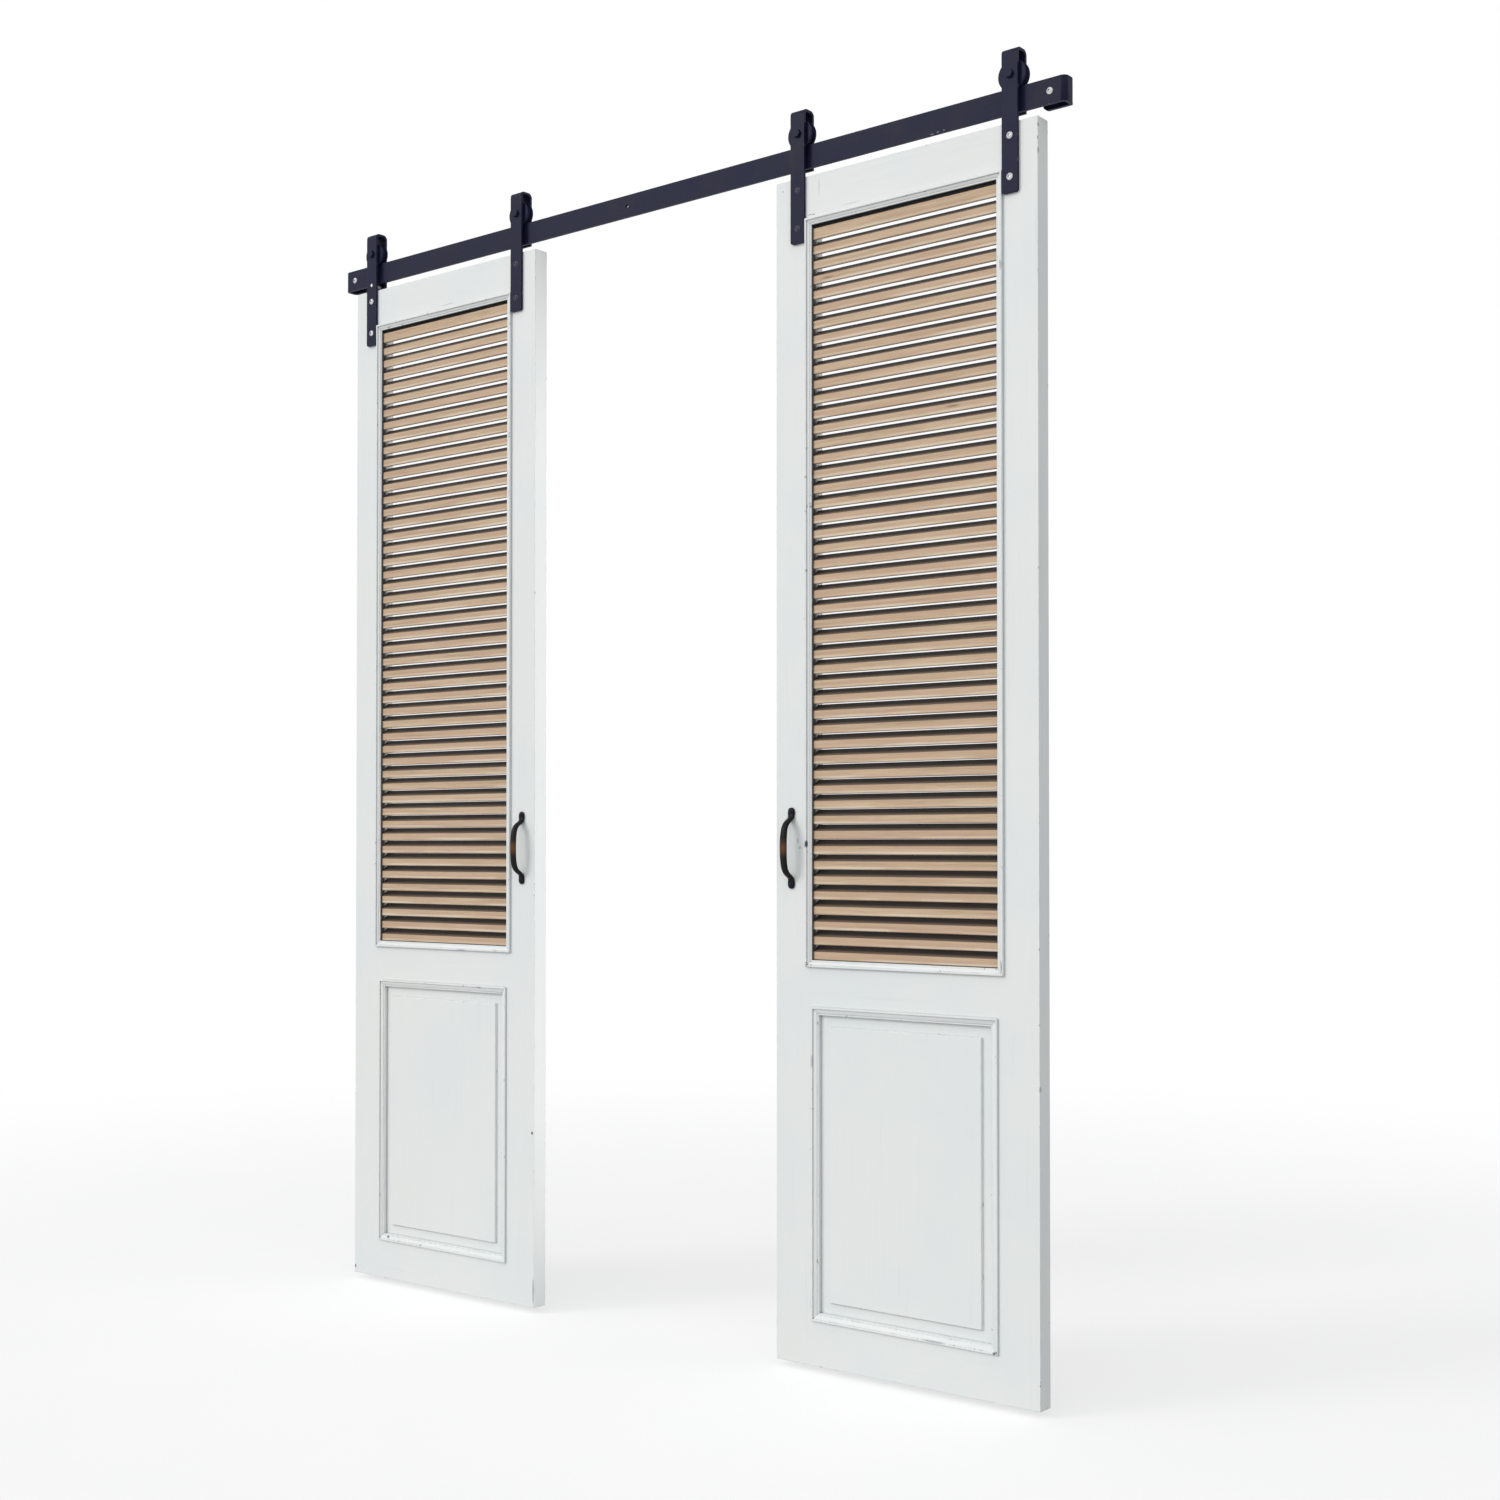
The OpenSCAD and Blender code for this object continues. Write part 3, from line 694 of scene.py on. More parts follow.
        # Painted shade on the slope behind each front, turning to painted shadow further back.
        colour = shade.blend(shade.times(shade.spread(above, *self.slope_ramp), face), colour, self.brown)
        colour = shade.blend(shade.times(shade.spread(above, *self.depth_ramp), face), colour, self.shadow)
        # Pale rubbing on the front edges, which also stands in as a painted highlight.
        rubbed = shade.spread(shade.noise(shade.stretched(self.rub_scale), self.rub), *self.rub_ramp)
        nose = shade.spread(across, *(reach - self.half_w for reach in self.nose_reach))
        colour = shade.blend(shade.times(nose, rubbed), colour, self.pale_rub_and_highlight)
        # Painted shade at the slat ends, where they go into the stiles.
        away = shade.away()
        ends = [shade.spread(away, self.opening.inner + self.end_reach, self.opening.inner),
                shade.spread(away, self.opening.outer - self.end_reach, self.opening.outer)]
        colour = shade.blend(shade.times(shade.sum("MAXIMUM", *ends), self.end_share), colour, self.shadow)
        # Painted shade in the corners.
        corner = shade.spread(shade.hollow(self.corner_reach), *self.corner_ramp)
        return shade.blend(corner, colour, self.shadow)


@dataclass(frozen=True)
class BlackIron:
    """Satin navy-black coating on steel, fine-grained, with a few bright scuffs on its edges."""

    name: str
    marks: tuple[Mark, ...] = ()
    coat: Colour = (0.0062, 0.0072, 0.0275)
    faded: Colour = (0.0105, 0.0125, 0.0400)
    edge: Colour = (0.10, 0.10, 0.125)
    steel: Colour = (0.30, 0.30, 0.32)
    cloud: Noise = Noise(14.0, 4.0, 0.6)
    grit: Noise = Noise(900.0, 2.0, 0.6)
    fleck: Noise = Noise(55.0, 4.0, 0.7)
    cloud_ramp: Ramp = Ramp(0.35, 0.68)
    fleck_ramp: Ramp = Ramp(0.60, 0.70)
    scuff_reach: float = 0.0012
    edge_reach: float = 0.0018
    edge_share: float = 0.16
    scuff_metal: float = 0.8
    rough_ramp: Ramp = Ramp(0.2, 0.8, (0.40, 0.54))
    bump: Bump = Bump(0.12, 0.0002)
    edge_radius: float = 0.0008
    gloss: float = 0.12

    def material(self) -> bpy.types.Material:
        """Builds the coating.

        Returns:
            The finished material.
        """
        shade = Shade(self.name)
        cloud = shade.noise(shade.place, self.cloud)
        grit = shade.noise(shade.place, self.grit)
        fleck = shade.spread(shade.noise(shade.place, self.fleck), *self.fleck_ramp)
        scuff = shade.times(shade.arris(self.scuff_reach), fleck)
        edge = shade.times(shade.arris(self.edge_reach), self.edge_share)
        colour = shade.blend(shade.spread(cloud, *self.cloud_ramp), self.coat, self.faded)
        colour = shade.blend(edge, colour, self.edge)
        colour = shade.blend(scuff, colour, self.steel)
        return shade.close({
            "Base Color": shade.marked(colour, self.marks),
            "Metallic": shade.times(scuff, self.scuff_metal),
            "Roughness": shade.spread(cloud, *self.rough_ramp),
            "Specular IOR Level": self.gloss,
            "Normal": shade.relief(grit, self.bump, shade.rounded(self.edge_radius)),
        })


@dataclass(frozen=True)
class RubbedIron:
    """Dark cast iron whose middle has been rubbed to a coppery brown by hands."""

    name: str
    middle_z: float
    dark: Colour = (0.0050, 0.0047, 0.0058)
    grey: Colour = (0.013, 0.012, 0.013)
    copper: Colour = (0.165, 0.080, 0.042)
    cast: Noise = Noise(130.0, 4.0, 0.6)
    cast_ramp: Ramp = Ramp(0.3, 0.7)
    ragged: float = 0.012
    rub_ramp: Ramp = Ramp(0.026, 0.006)
    front_ramp: Ramp = Ramp(-0.055, -0.062)
    rub_share: float = 0.6
    rub_metal: float = 0.75
    rim_reach: float = 0.0020
    rim_ramp: Ramp = Ramp(0.50, 0.66, (0.0, 0.30))
    rough_ramp: Ramp = Ramp(0.2, 0.8, (0.36, 0.52))
    bump: Bump = Bump(0.20, 0.0003)
    edge_radius: float = 0.0022
    gloss: float = 0.12

    def material(self) -> bpy.types.Material:
        """Builds the iron.

        Returns:
            The finished material.
        """
        shade = Shade(self.name)
        cast = shade.noise(shade.place, self.cast)
        off = shade.sum("ABSOLUTE", shade.less(shade.axis("Z"), self.middle_z))
        rub = shade.spread(shade.sum("ADD", off, shade.times(cast, self.ragged)), *self.rub_ramp)
        rub = shade.times(rub, shade.spread(shade.axis("Y"), *self.front_ramp))
        rim = shade.times(shade.arris(self.rim_reach), shade.spread(cast, *self.rim_ramp))
        bare = shade.sum("MAXIMUM", shade.times(rub, self.rub_share), rim)
        colour = shade.blend(shade.spread(cast, *self.cast_ramp), self.dark, self.grey)
        return shade.close({
            "Base Color": shade.blend(bare, colour, self.copper),
            "Metallic": shade.times(rub, self.rub_metal),
            "Roughness": shade.spread(cast, *self.rough_ramp),
            "Specular IOR Level": self.gloss,
            "Normal": shade.relief(cast, self.bump, shade.rounded(self.edge_radius)),
        })


@dataclass(frozen=True)
class ScrewSteel:
    """Zinc-plated screws, dulled in patches, with painted shade in their sockets; those nearer the middle are
    blackened, with a painted highlight round their rims.
    """

    name: str
    black_within: float = 0.5
    black_soft: float = 0.01
    zinc: Colour = (0.80, 0.805, 0.82)
    dull: Colour = (0.62, 0.62, 0.64)
    black: Colour = (0.016, 0.017, 0.034)
    # The rim colour is a painted highlight round the black screws' heads, and the socket colour is painted shade
    # in all the screws' drive recesses.
    rim_highlight: Colour = (0.17, 0.18, 0.24)
    socket: Colour = (0.010, 0.010, 0.012)
    spangle: Noise = Noise(260.0, 3.0, 0.6)
    dull_ramp: Ramp = Ramp(0.3, 0.7)
    rim_highlight_reach: float = 0.0014
    socket_shade_reach: float = 0.004
    socket_shade_ramp: Ramp = Ramp(0.30, 0.62)
    metal: float = 0.45
    rough_ramp: Ramp = Ramp(0.2, 0.8, (0.30, 0.44))
    bump: Bump = Bump(0.15, 0.0001)
    edge_radius: float = 0.0006

    def material(self) -> bpy.types.Material:
        """Builds the plating.

        Returns:
            The finished material.
        """
        shade = Shade(self.name)
        spangle = shade.noise(shade.place, self.spangle)
        outer = shade.spread(shade.away(), self.black_within, self.black_within + self.black_soft)
        bright = shade.blend(shade.spread(spangle, *self.dull_ramp), self.zinc, self.dull)
        # Painted highlight round the black screws' rims.
        dark = shade.blend(shade.arris(self.rim_highlight_reach), self.black, self.rim_highlight)
        # Painted shade in the sockets.
        inside = shade.spread(shade.hollow(self.socket_shade_reach), *self.socket_shade_ramp)
        return shade.close({
            "Base Color": shade.blend(inside, shade.blend(outer, dark, bright), self.socket),
            "Metallic": shade.times(outer, self.metal),
            "Roughness": shade.spread(spangle, *self.rough_ramp),
            "Normal": shade.relief(spangle, self.bump, shade.rounded(self.edge_radius)),
        })


@dataclass(frozen=True)
class PaleFloor:
    """A plain white studio floor that keeps the soft shadow of the leaves."""

    name: str = "pale_floor"
    white: Colour = (0.36, 0.36, 0.36)
    other: Colour = (0.350, 0.353, 0.356)
    speck: Noise = Noise(3.0, 3.0, 0.5)
    speck_ramp: Ramp = Ramp(0.3, 0.7)
    lift: float = 0.64
    bounce: float = 0.23
    near: float = 1.4
    far: float = 4.5
    rough: float = 0.85
    gloss: float = 0.0

    def material(self) -> bpy.types.Material:
        """Builds the floor, lifted to white where the camera sees it.

        Returns:
            The finished material.
        """
        shade = Shade(self.name)
        speck = shade.noise(shade.place, self.speck)
        colour = shade.blend(shade.spread(speck, *self.speck_ramp), self.white, self.other)
        seen = shade.looked_at()
        length = shade.add("ShaderNodeVectorMath", operation="LENGTH")
        shade.feed(length.inputs[0], shade.place)
        away = length.outputs["Value"]
        gone = shade.times(seen, shade.spread(away, self.near, self.far))
        glow = shade.spread(away, self.near, self.far, (self.lift, 1.0))
        return shade.close({
            "Base Color": shade.blend(gone, colour, BLACK),
            "Roughness": self.rough,
            "Specular IOR Level": self.gloss,
            "Emission Color": WHITE,
            "Emission Strength": shade.sum("MAXIMUM", shade.times(seen, glow), self.bounce),
        })


def put_on(node: str, finish: bpy.types.Material) -> bpy.types.Object:
    """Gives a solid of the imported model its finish.

    Args:
        node: The solid's name.
        finish: The material.

    Returns:
        The solid's object.
    """
    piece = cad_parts[node]
    piece.data.materials.clear()
    piece.data.materials.append(finish)
    return piece


def soften(piece: bpy.types.Object, width: float, steps: int = 2, turn: float = 50.0,
           join: float = 1e-6) -> None:
    """Rounds the sharp edges of a solid with modifiers.

    Args:
        piece: The solid's object.
        width: The width of the rounding, in metres.
        steps: How many faces it has.
        turn: The smallest angle of an edge that is rounded, in degrees.
        join: How close together two points are one, in metres.
    """
    weld = piece.modifiers.new("join", "WELD")
    weld.merge_threshold = join
    bevel = piece.modifiers.new("round", "BEVEL")
    bevel.width = width
    bevel.segments = steps
    bevel.limit_method = "ANGLE"
    bevel.angle_limit = math.radians(turn)
    bevel.harden_normals = True


def skin(build: bmesh.types.BMesh, rows: Sequence[Sequence[bmesh.types.BMVert]],
         smooth: bool = False) -> None:
    """Closes a run of sections into one solid.

    Args:
        build: The mesh that the sections are in.
        rows: The points around each section, in order.
        smooth: Whether the faces between the sections are shaded smoothly.
    """
    count = len(rows[0])
    for a, b in zip(rows, rows[1:]):
        for k in range(count):
            n = (k + 1) % count
            build.faces.new((a[k], a[n], b[n], b[k])).smooth = smooth
    build.faces.new(rows[0])
    build.faces.new(rows[-1][::-1])


def set_up(name: str, data: bpy.types.ID) -> bpy.types.Object:
    """Puts a new object into the scene.

    Args:
        name: Its name.
        data: Its mesh, light or camera.

    Returns:
        The object.
    """
    thing = bpy.data.objects.new(name, data)
    bpy.context.scene.collection.objects.link(thing)
    return thing


def mesh_object(name: str, build: bmesh.types.BMesh, finish: bpy.types.Material) -> bpy.types.Object:
    """Makes an object of a mesh under construction.

    Args:
        name: The object's name.
        build: Its mesh; it is freed.
        finish: Its material.

    Returns:
        The object.
    """
    mesh = bpy.data.meshes.new(name)
    build.to_mesh(mesh)
    build.free()
    mesh.materials.append(finish)
    return set_up(name, mesh)


def mesh_piece(name: str, build: bmesh.types.BMesh, finish: bpy.types.Material, body: str) -> bpy.types.Object:
    """Makes a new piece that rides on a body.

    Args:
        name: The piece's name.
        build: Its mesh, in the row frame; it is freed.
        finish: Its material.
        body: The body that it moves with.

    Returns:
        The new object.
    """
    bmesh.ops.recalc_face_normals(build, faces=build.faces)
    piece = mesh_object(name, build, finish)
    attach(piece, body)
    LOG.info("piece %s on %s", name, body)
    return piece


@dataclass
class Track:
    """The flat bar on the wall with its two screws."""

    bar_round: float = 0.0008
    screw_x: float = 0.857
    core_r: float = 0.00220
    crest_r: float = 0.00285
    flank: float = 0.0007
    thread_from: float = 0.004
    thread_to: float = 0.0442
    thread_pitch: float = 0.0024
    lead_share: float = 0.05
    end_share: float = 0.12
    turn_steps: int = 20

    def dress(self, iron: bpy.types.Material, zinc: bpy.types.Material) -> None:
        """Finishes the bar and the screws.

        Args:
            iron: The bar's finish.
            zinc: The screws' finish.
        """
        soften(put_on("track_rail", iron), self.bar_round)
        put_on("wall_screws", zinc)
        for side in Side:
            self.thread(f"{side.value}_wall_screw_thread", side.sign * self.screw_x, zinc)
        LOG.info("track dressed")

    def thread(self, name: str, x: float, finish: bpy.types.Material) -> None:
        """Winds the thread around one wall screw's shank.

        Args:
            name: The piece's name.
            x: The screw's place along the bar.
            finish: Its material.
        """
        build = bmesh.new()
        length = self.thread_to - self.thread_from
        count = int(length / self.thread_pitch * self.turn_steps)
        rows: list[list[bmesh.types.BMVert]] = []
        for i in range(count + 1):
            share = i / count
            turn = math.tau * i / self.turn_steps
            taper = min(1.0, share / self.lead_share, (1.0 - share) / self.end_share)
            crest = self.core_r + (self.crest_r - self.core_r) * taper
            y = self.thread_from + length * share
            rows.append([
                build.verts.new((x + r * math.cos(turn), y + dy, r * math.sin(turn)))
                for r, dy in ((self.core_r, -self.flank), (crest, 0.0), (self.core_r, self.flank))
            ])
        skin(build, rows)
        mesh_piece(name, build, finish, "track")


@dataclass(frozen=True)
class LeafPaints:
    """The paint of a leaf's pieces, by what they are and the way that their grain runs."""

    stile: bpy.types.Material
    rail: bpy.types.Material
    upright: bpy.types.Material
    level: bpy.types.Material


@dataclass
class Leaf:
    """One louvred leaf: frame, beads, slats and panel."""

    side: Side
    panel_round: float = 0.0006
    bead_round: float = 0.00035

    def dress(self, paints: LeafPaints, slats: bpy.types.Material) -> None:
        """Finishes the leaf.

        Args:
            paints: The paint of its frame, panel and beads.
            slats: The slats' wood.
        """
        name = self.side.value
        for places, paint in ((("outer", "inner"), paints.upright), (("top", "bottom"), paints.level)):
            for place in places:
                for field in ("louvre", "panel"):
                    soften(put_on(f"{name}_{field}_bead_{place}", paint), self.bead_round)
        for place in ("outer", "inner"):
            put_on(f"{name}_{place}_stile", paints.stile)
        for place in ("top", "lock", "bottom"):
            put_on(f"{name}_{place}_rail", paints.rail)
        soften(put_on(f"{name}_panel", paints.upright), self.panel_round)
        put_on(f"{name}_slats", slats)
        LOG.info("%s leaf dressed", name)


@dataclass
class Nosings:
    """The upright fronts of a leaf's slats with the long slopes behind them, one along each slat.

    The section is given off the slat's middle, and its crest points are at the top of the front.
    """

    side: Side
    opening: Opening
    middle_y: float
    slack: float = 0.0003
    section: tuple[Pair, ...] = (
        (-0.0105, -0.0119), (-0.0105, 0.0010), (-0.0102, 0.0015), (0.0055, 0.01245),
        (0.0060, 0.0116), (-0.0072, -0.0126), (-0.0079, -0.01285), (-0.0099, -0.0125),
    )
    crest: tuple[int, int] = (1, 2)

    def dress(self, wood: bpy.types.Material) -> None:
        """Builds the fronts along all the slats.

        Args:
            wood: The slats' wood.
        """
        build = bmesh.new()
        room = self.opening
        for number in range(room.count):
            is_top = number == room.count - 1
            self.lay(build, room.low + (number + 0.5) * room.pitch, TOP_SLAT_RISE if is_top else 0.0)
        name = self.side.value
        mesh_piece(f"{name}_slat_nosings", build, wood, f"{name}_leaf")

    def lay(self, build: bmesh.types.BMesh, middle_z: float, rise: float) -> None:
        """Lays one front along its slat.

        Args:
            build: The mesh that it goes into.
            middle_z: The height of the slat's middle.
            rise: How much higher than the others the front stands.
        """
        outline = [(y, z + rise if k in self.crest else z) for k, (y, z) in enumerate(self.section)]
        ends = (self.opening.inner + self.slack, self.opening.outer - self.slack)
        skin(build, [[build.verts.new((self.side.sign * away, self.middle_y + y, middle_z + z))
                      for y, z in outline] for away in ends])


@dataclass
class Hangers:
    """The two strap hangers of a leaf with their screws, axles and rollers."""

    side: Side
    strap_round: float = 0.0008

    def dress(self, iron: bpy.types.Material, zinc: bpy.types.Material) -> None:
        """Finishes the hangers.

        Args:
            iron: The straps', axles' and rollers' finish.
            zinc: The screws' and bushes' finish.
        """
        name = self.side.value
        for place in ("outer", "inner"):
            soften(put_on(f"{name}_{place}_hanger", iron), self.strap_round)
            soften(put_on(f"{name}_{place}_roller", iron), self.strap_round)
            put_on(f"{name}_{place}_axle", iron)
            put_on(f"{name}_{place}_bush", zinc)
        put_on(f"{name}_axle_nuts", iron)
        put_on(f"{name}_strap_screws", zinc)
        if self.side is Side.LEFT:
            put_on("left_keeper_bolt", zinc)
        LOG.info("%s hangers dressed", name)


@dataclass(frozen=True)
class Station:
    """One section of a bow handle: its place along the leaf and off it, its size, and how square it is."""

    along: float
    off: float
    wide: float
    thick: float
    square: float


@dataclass
class Handle:
    """A cast bow handle with two tongue feet and its two screws."""

    side: Side
    around: int = 20
    steps: int = 5
    half: tuple[Station, ...] = (
        Station(0.0716, 0.0013, 0.0034, 0.0018, 2.6),
        Station(0.0709, 0.0016, 0.0084, 0.0030, 2.8),
        Station(0.0690, 0.0019, 0.0120, 0.0038, 3.0),
        Station(0.0650, 0.0020, 0.0143, 0.0040, 3.2),
        Station(0.0590, 0.0021, 0.0140, 0.0042, 3.2),
        Station(0.0545, 0.0030, 0.0124, 0.0054, 2.8),
        Station(0.0505, 0.0068, 0.0114, 0.0070, 2.4),
        Station(0.0468, 0.0126, 0.0116, 0.0078, 2.3),
        Station(0.0420, 0.0180, 0.0120, 0.0082, 2.3),
        Station(0.0340, 0.0222, 0.0127, 0.0084, 2.3),
        Station(0.0220, 0.0246, 0.0135, 0.0085, 2.3),
        Station(0.0080, 0.0255, 0.0140, 0.0086, 2.3),
    )

    def dress(self, iron: bpy.types.Material, screws: bpy.types.Material) -> None:
        """Builds the handle over its solid and finishes it.

        Args:
            iron: The bow's finish.
            screws: The screws' finish.
        """
        name = self.side.value
        low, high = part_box(f"{name}_handle")
        middle = (low + high) / 2
        build = self.loft(Vector((middle.x, high.y, middle.z)))
        bow = mesh_piece(f"{name}_bow_handle", build, iron, f"{name}_leaf")
        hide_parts(f"{name}_handle")
        put_on(f"{name}_handle_screws", screws)
        LOG.info("%s handle dressed", name)

    def path(self) -> list[Station]:
        """Fills in the sections smoothly.

        Returns:
            The sections from the upper foot to the lower one.
        """
        marks = [*self.half, *(replace(s, along=-s.along) for s in reversed(self.half))]
        last = len(marks) - 1
        full: list[Station] = []
        for i in range(last):
            four = (marks[max(i - 1, 0)], marks[i], marks[i + 1], marks[min(i + 2, last)])
            full += [self.between(four, k / self.steps) for k in range(self.steps)]
        return [*full, marks[last]]

    @staticmethod
    def between(four: Sequence[Station], share: float) -> Station:
        """Finds a section on the smooth curve between the middle two of four sections.

        Args:
            four: The sections, in order.
            share: How far along it is from the second to the third.

        Returns:
            The section.
        """
        t, t2, t3 = share, share ** 2, share ** 3
        weights = (-t3 + 2 * t2 - t, 3 * t3 - 5 * t2 + 2, -3 * t3 + 4 * t2 + t, t3 - t2)
        sizes = zip(*(astuple(station) for station in four))
        return Station(*(sum(w * size for w, size in zip(weights, each)) / 2 for each in sizes))

    def loft(self, seat: Vector) -> bmesh.types.BMesh:
        """Skins the handle's sections.

        Args:
            seat: The point on the leaf behind the handle's middle.

        Returns:
            The handle's mesh, in the row frame.
        """
        build = bmesh.new()
        path = self.path()
        rows: list[list[bmesh.types.BMVert]] = []
        for i, spot in enumerate(path):
            before, after = path[max(i - 1, 0)], path[min(i + 1, len(path) - 1)]
            run = Vector((0.0, before.off - after.off, after.along - before.along)).normalized()
            out = run.cross(Vector((1.0, 0.0, 0.0))).normalized()
            centre = seat + Vector((0.0, -spot.off, spot.along))
            rows.append([build.verts.new(centre + self.rim(spot, math.tau * k / self.around, out))
                         for k in range(self.around)])
        skin(build, rows, smooth=True)
        return build

    @staticmethod
    def rim(spot: Station, turn: float, out: Vector) -> Vector:
        """Gives a point on a section's rim, between an oval and a rounded oblong.

        Args:
            spot: The section.
            turn: The angle around it.
            out: The way off the leaf.

        Returns:
            The point from the section's middle.
        """
        power = 2.0 / spot.square
        x = math.copysign(abs(math.cos(turn)) ** power, math.cos(turn)) * spot.wide / 2
        n = math.copysign(abs(math.sin(turn)) ** power, math.sin(turn)) * spot.thick / 2
        return Vector((x, 0.0, 0.0)) + out * n


@dataclass
class Studio:
    """The white studio: floor, soft light and the camera."""

    floor_z: float = -2.150
    floor_size: float = 60.0
    floor_cells: int = 4
    camera_at: Point = (2.4369, -2.8031, -1.2262)
    camera_turn: Point = (90.863, 0.0, 38.434)
    sensor: float = 36.0
    lens: float = 46.90
    lift: float = 0.0444
    lamp_tint: Colour = (1.0, 0.985, 0.96)
    key_from: Point = (-2.7, -4.0, 2.3)
    key_power: float = 0.97
    key_spread: float = 22.0
    side_from: Point = (0.78, 0.30, -1.10)
    side_to: Point = (-0.303, -0.02, -1.10)
    side_power: float = 1.5
    side_size: Pair = (0.25, 2.0)
    side_spread: float = 40.0
    sky_tint: Colour = (0.985, 0.995, 1.0)
    front_ramp: Ramp = Ramp(0.5, -0.5, (0.10, 1.0))
    height_ramp: Ramp = Ramp(-0.1, 0.75, (0.56, 1.26))
    rear_ramp: Ramp = Ramp(0.1, 0.7, (0.0, 1.20))
    level_ramp: Ramp = Ramp(0.42, 0.12)

    def floor(self) -> None:
        """Lays the floor."""
        build = bmesh.new()
        bmesh.ops.create_grid(build, x_segments=self.floor_cells, y_segments=self.floor_cells,
                              size=self.floor_size / 2)
        ground = mesh_object("floor", build, PaleFloor().material())
        ground.location = (0.0, 0.0, self.floor_z)

    def lamp(self, name: str, kind: str, at: Point, to: Point, **settings: object) -> bpy.types.Object:
        """Hangs one lamp.

        Args:
            name: Its name.
            kind: Its type.
            at: Where it hangs.
            to: The place that it is turned to.
            settings: What else is set on its light.

        Returns:
            The lamp's object.
        """
        light = bpy.data.lights.new(name, kind)
        light.color = self.lamp_tint
        for key, value in settings.items():
            setattr(light, key, value)
        lamp = set_up(name, light)
        lamp.location = at
        lamp.rotation_euler = (Vector(to) - Vector(at)).to_track_quat("-Z", "Y").to_euler()
        return lamp

    def lamps(self) -> None:
        """Hangs a soft key in front on the left, and a tall lamp for the left leaf's meeting edge."""
        self.lamp("key", "SUN", self.key_from, ORIGIN, energy=self.key_power,
                  angle=math.radians(self.key_spread))
        wide, tall = self.side_size
        side = self.lamp("side", "AREA", self.side_from, self.side_to, shape="RECTANGLE", size=wide,
                         size_y=tall, energy=self.side_power, spread=math.radians(self.side_spread))
        side.visible_camera = False
        side.visible_glossy = False

    def sky(self) -> None:
        """Makes the surroundings: plain white to look at, with light from high in front and low behind."""
        world = bpy.data.worlds.new("studio")
        bpy.context.scene.world = world
        world.use_nodes = True
        dome = Nodes(world.node_tree)
        way = dome.split(dome.add("ShaderNodeTexCoord").outputs["Generated"])
        front = dome.times(dome.spread(way["Y"], *self.front_ramp), dome.spread(way["Z"], *self.height_ramp))
        level = dome.spread(dome.sum("ABSOLUTE", way["Z"]), *self.level_ramp)
        rear = dome.times(dome.spread(way["Y"], *self.rear_ramp), level)
        plain = dome.add("ShaderNodeBackground")
        dome.feed(plain.inputs["Color"], WHITE)
        graded = dome.add("ShaderNodeBackground")
        dome.feed(graded.inputs["Color"], self.sky_tint)
        dome.feed(graded.inputs["Strength"], dome.sum("ADD", front, rear))
        choose = dome.add("ShaderNodeMixShader")
        for socket, value in zip(choose.inputs, (dome.looked_at(), graded.outputs[0], plain.outputs[0])):
            dome.feed(socket, value)
        dome.feed(dome.add("ShaderNodeOutputWorld").inputs["Surface"], choose.outputs[0])

    def camera(self) -> None:
        """Sets the camera at the photograph's viewing angle."""
        data = bpy.data.cameras.new("camera")
        data.sensor_width = self.sensor
        data.lens = self.lens
        data.shift_y = self.lift
        eye = set_up("camera", data)
        eye.location = self.camera_at
        eye.rotation_euler = Euler(tuple(math.radians(a) for a in self.camera_turn))
        bpy.context.scene.camera = eye

    def build(self) -> None:
        """Sets up the whole studio."""
        bpy.context.scene.view_settings.view_transform = "Standard"
        self.floor()
        self.sky()
        self.lamps()
        self.camera()
        LOG.info("studio ready")


class Wear(Enum):
    """The colours of the marks that use has left on the paint and the iron."""

    CRACK = (0.05, 0.05, 0.055)
    HAIRLINE = (0.40, 0.42, 0.45)
    SCUFF = (0.44, 0.45, 0.52)
    CHIP = (0.36, 0.36, 0.38)
    SCRATCH = (0.30, 0.30, 0.35)

    def at(self, x: float, z: float, wide: float, tall: float, strength: float = 0.8,
           y: float = LEAF_FRONT) -> Mark:
        """Puts a mark on the door's front: wide and tall are half its size, and y is the surface's depth."""
        return Mark((x, y, z), (wide, MARK_DEPTH, tall), self.value, strength)


STILE_MARKS = (
    Wear.CRACK.at(0.3173, -0.0544, 0.0014, 0.0014),
    Wear.SCUFF.at(0.3500, -1.2165, 0.0030, 0.0060, 0.55),
    Wear.SCUFF.at(0.3550, -1.2290, 0.0050, 0.0030, 0.55),
    Wear.CRACK.at(0.3775, -0.1075, 0.0060, 0.0009),
    Wear.CHIP.at(0.8390, -0.0520, 0.0016, 0.0045),
    Wear.CHIP.at(0.8390, -0.0940, 0.0013, 0.0070),
    Wear.CHIP.at(0.8390, -1.6200, 0.0016, 0.0060),
    Wear.CRACK.at(-0.3085, -1.7940, 0.0032, 0.0036, 0.95),
    Wear.CHIP.at(-0.3050, -2.1050, 0.0024, 0.0320),
    Wear.CRACK.at(-0.8370, -2.1250, 0.0032, 0.0050),
)
RAIL_MARKS = (
    Wear.HAIRLINE.at(0.3975, -0.0630, 0.0009, 0.0200),
    Wear.HAIRLINE.at(0.4680, -0.1050, 0.0250, 0.0008, 0.6),
    Wear.CRACK.at(0.3850, -0.1085, 0.0050, 0.0009),
    Wear.HAIRLINE.at(-0.5580, -0.1050, 0.0230, 0.0009, 0.7),
)
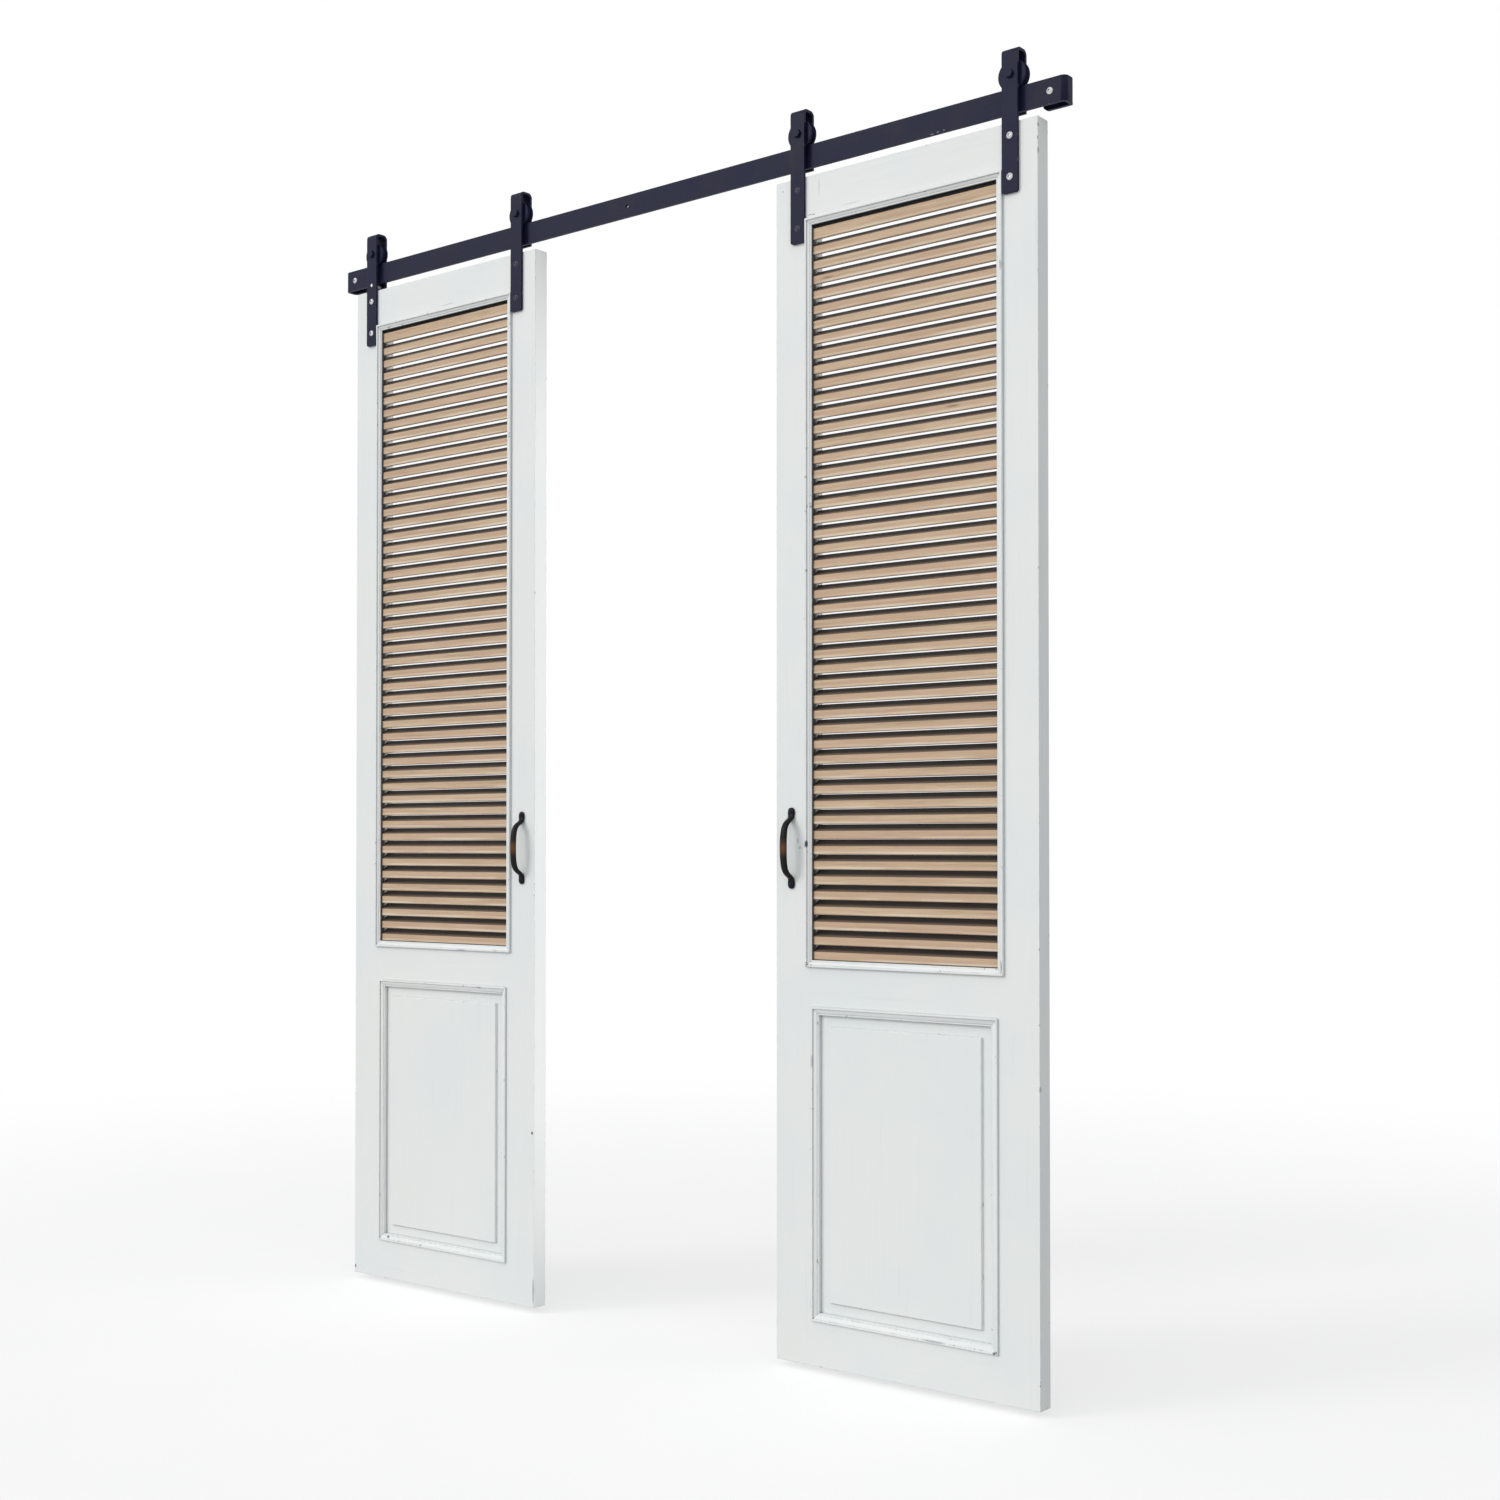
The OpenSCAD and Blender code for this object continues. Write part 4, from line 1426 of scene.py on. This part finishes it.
UPRIGHT_BEAD_MARKS = (
    Wear.CRACK.at(0.3715, -1.2226, 0.0040, 0.0080, 0.95, BEAD_FRONT),
    Wear.CHIP.at(0.7710, -0.2700, 0.0024, 0.0120, 0.8, BEAD_FRONT),
    Wear.CRACK.at(0.7700, -1.4240, 0.0018, 0.0160, 0.8, BEAD_FRONT),
    Wear.CHIP.at(0.3830, -1.6050, 0.0032, 0.0150, 0.6, BEAD_FRONT),
    Wear.CRACK.at(0.7575, -2.0555, 0.0040, 0.0040, 0.8, BEAD_FRONT),
)
LEVEL_BEAD_MARKS = (
    Wear.HAIRLINE.at(0.6370, -2.0560, 0.0280, 0.0020, 0.8, BEAD_FRONT),
    Wear.HAIRLINE.at(-0.5070, -1.4378, 0.0180, 0.0020, 0.8, BEAD_FRONT),
    Wear.HAIRLINE.at(-0.4570, -1.5130, 0.0080, 0.0026, 0.8, BEAD_FRONT),
    Wear.CRACK.at(0.7545, -2.0570, 0.0035, 0.0030, 0.8, BEAD_FRONT),
    Wear.CRACK.at(-0.7320, -2.0500, 0.0060, 0.0036, 0.85, BEAD_FRONT),
)
IRON_MARKS = (
    Wear.SCRATCH.at(0.6300, -0.0195, 0.0050, 0.0009, 0.7, BAR_FRONT),
    Wear.SCRATCH.at(0.6420, -0.0185, 0.0030, 0.0012, 0.7, BAR_FRONT),
    Wear.SCRATCH.at(0.6540, -0.0180, 0.0020, 0.0014, 0.7, BAR_FRONT),
)


def leaf_paints(opening: Opening) -> LeafPaints:
    """Mixes the paint of the leaves' frame, panel and beads.

    Args:
        opening: The louvre's opening.

    Returns:
        The paints.
    """
    return LeafPaints(
        stile=PaintedWood("stile_paint", Grain.UPRIGHT, opening, True, STILE_MARKS).material(),
        rail=PaintedWood("rail_paint", Grain.LEVEL, opening, True, RAIL_MARKS).material(),
        upright=PaintedWood("upright_bead_paint", Grain.UPRIGHT, opening, marks=UPRIGHT_BEAD_MARKS,
                            soil_and_shade=1.35).material(),
        level=PaintedWood("level_bead_paint", Grain.LEVEL, opening, marks=LEVEL_BEAD_MARKS,
                          soil_and_shade=0.25).material(),
    )


def main() -> None:
    """Dresses the door piece by piece, sets the studio and notes the sizes."""
    logging.basicConfig(level=logging.INFO, format="%(message)s")
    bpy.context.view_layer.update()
    opening = Opening.between_beads()
    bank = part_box("right_slats")
    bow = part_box("right_handle")
    paints = leaf_paints(opening)
    middle_y = (bank[0].y + bank[1].y) / 2
    slats = SlatWood("slat_wood", opening, middle_y).material()
    iron = BlackIron("black_iron", IRON_MARKS).material()
    zinc = ScrewSteel("screw_steel").material()
    rubbed = RubbedIron("rubbed_iron", (bow[0].z + bow[1].z) / 2).material()
    Studio().build()
    Track().dress(iron, zinc)
    for side in Side:
        Leaf(side).dress(paints, slats)
        Nosings(side, opening, middle_y).dress(slats)
        Hangers(side).dress(iron, zinc)
        Handle(side).dress(rubbed, iron)
    LOG.info("slats from %.3f to %.3f m, %.2f mm apart", bank[0].z, bank[1].z, opening.pitch * 1000)


if __name__ == "__main__":
    main()
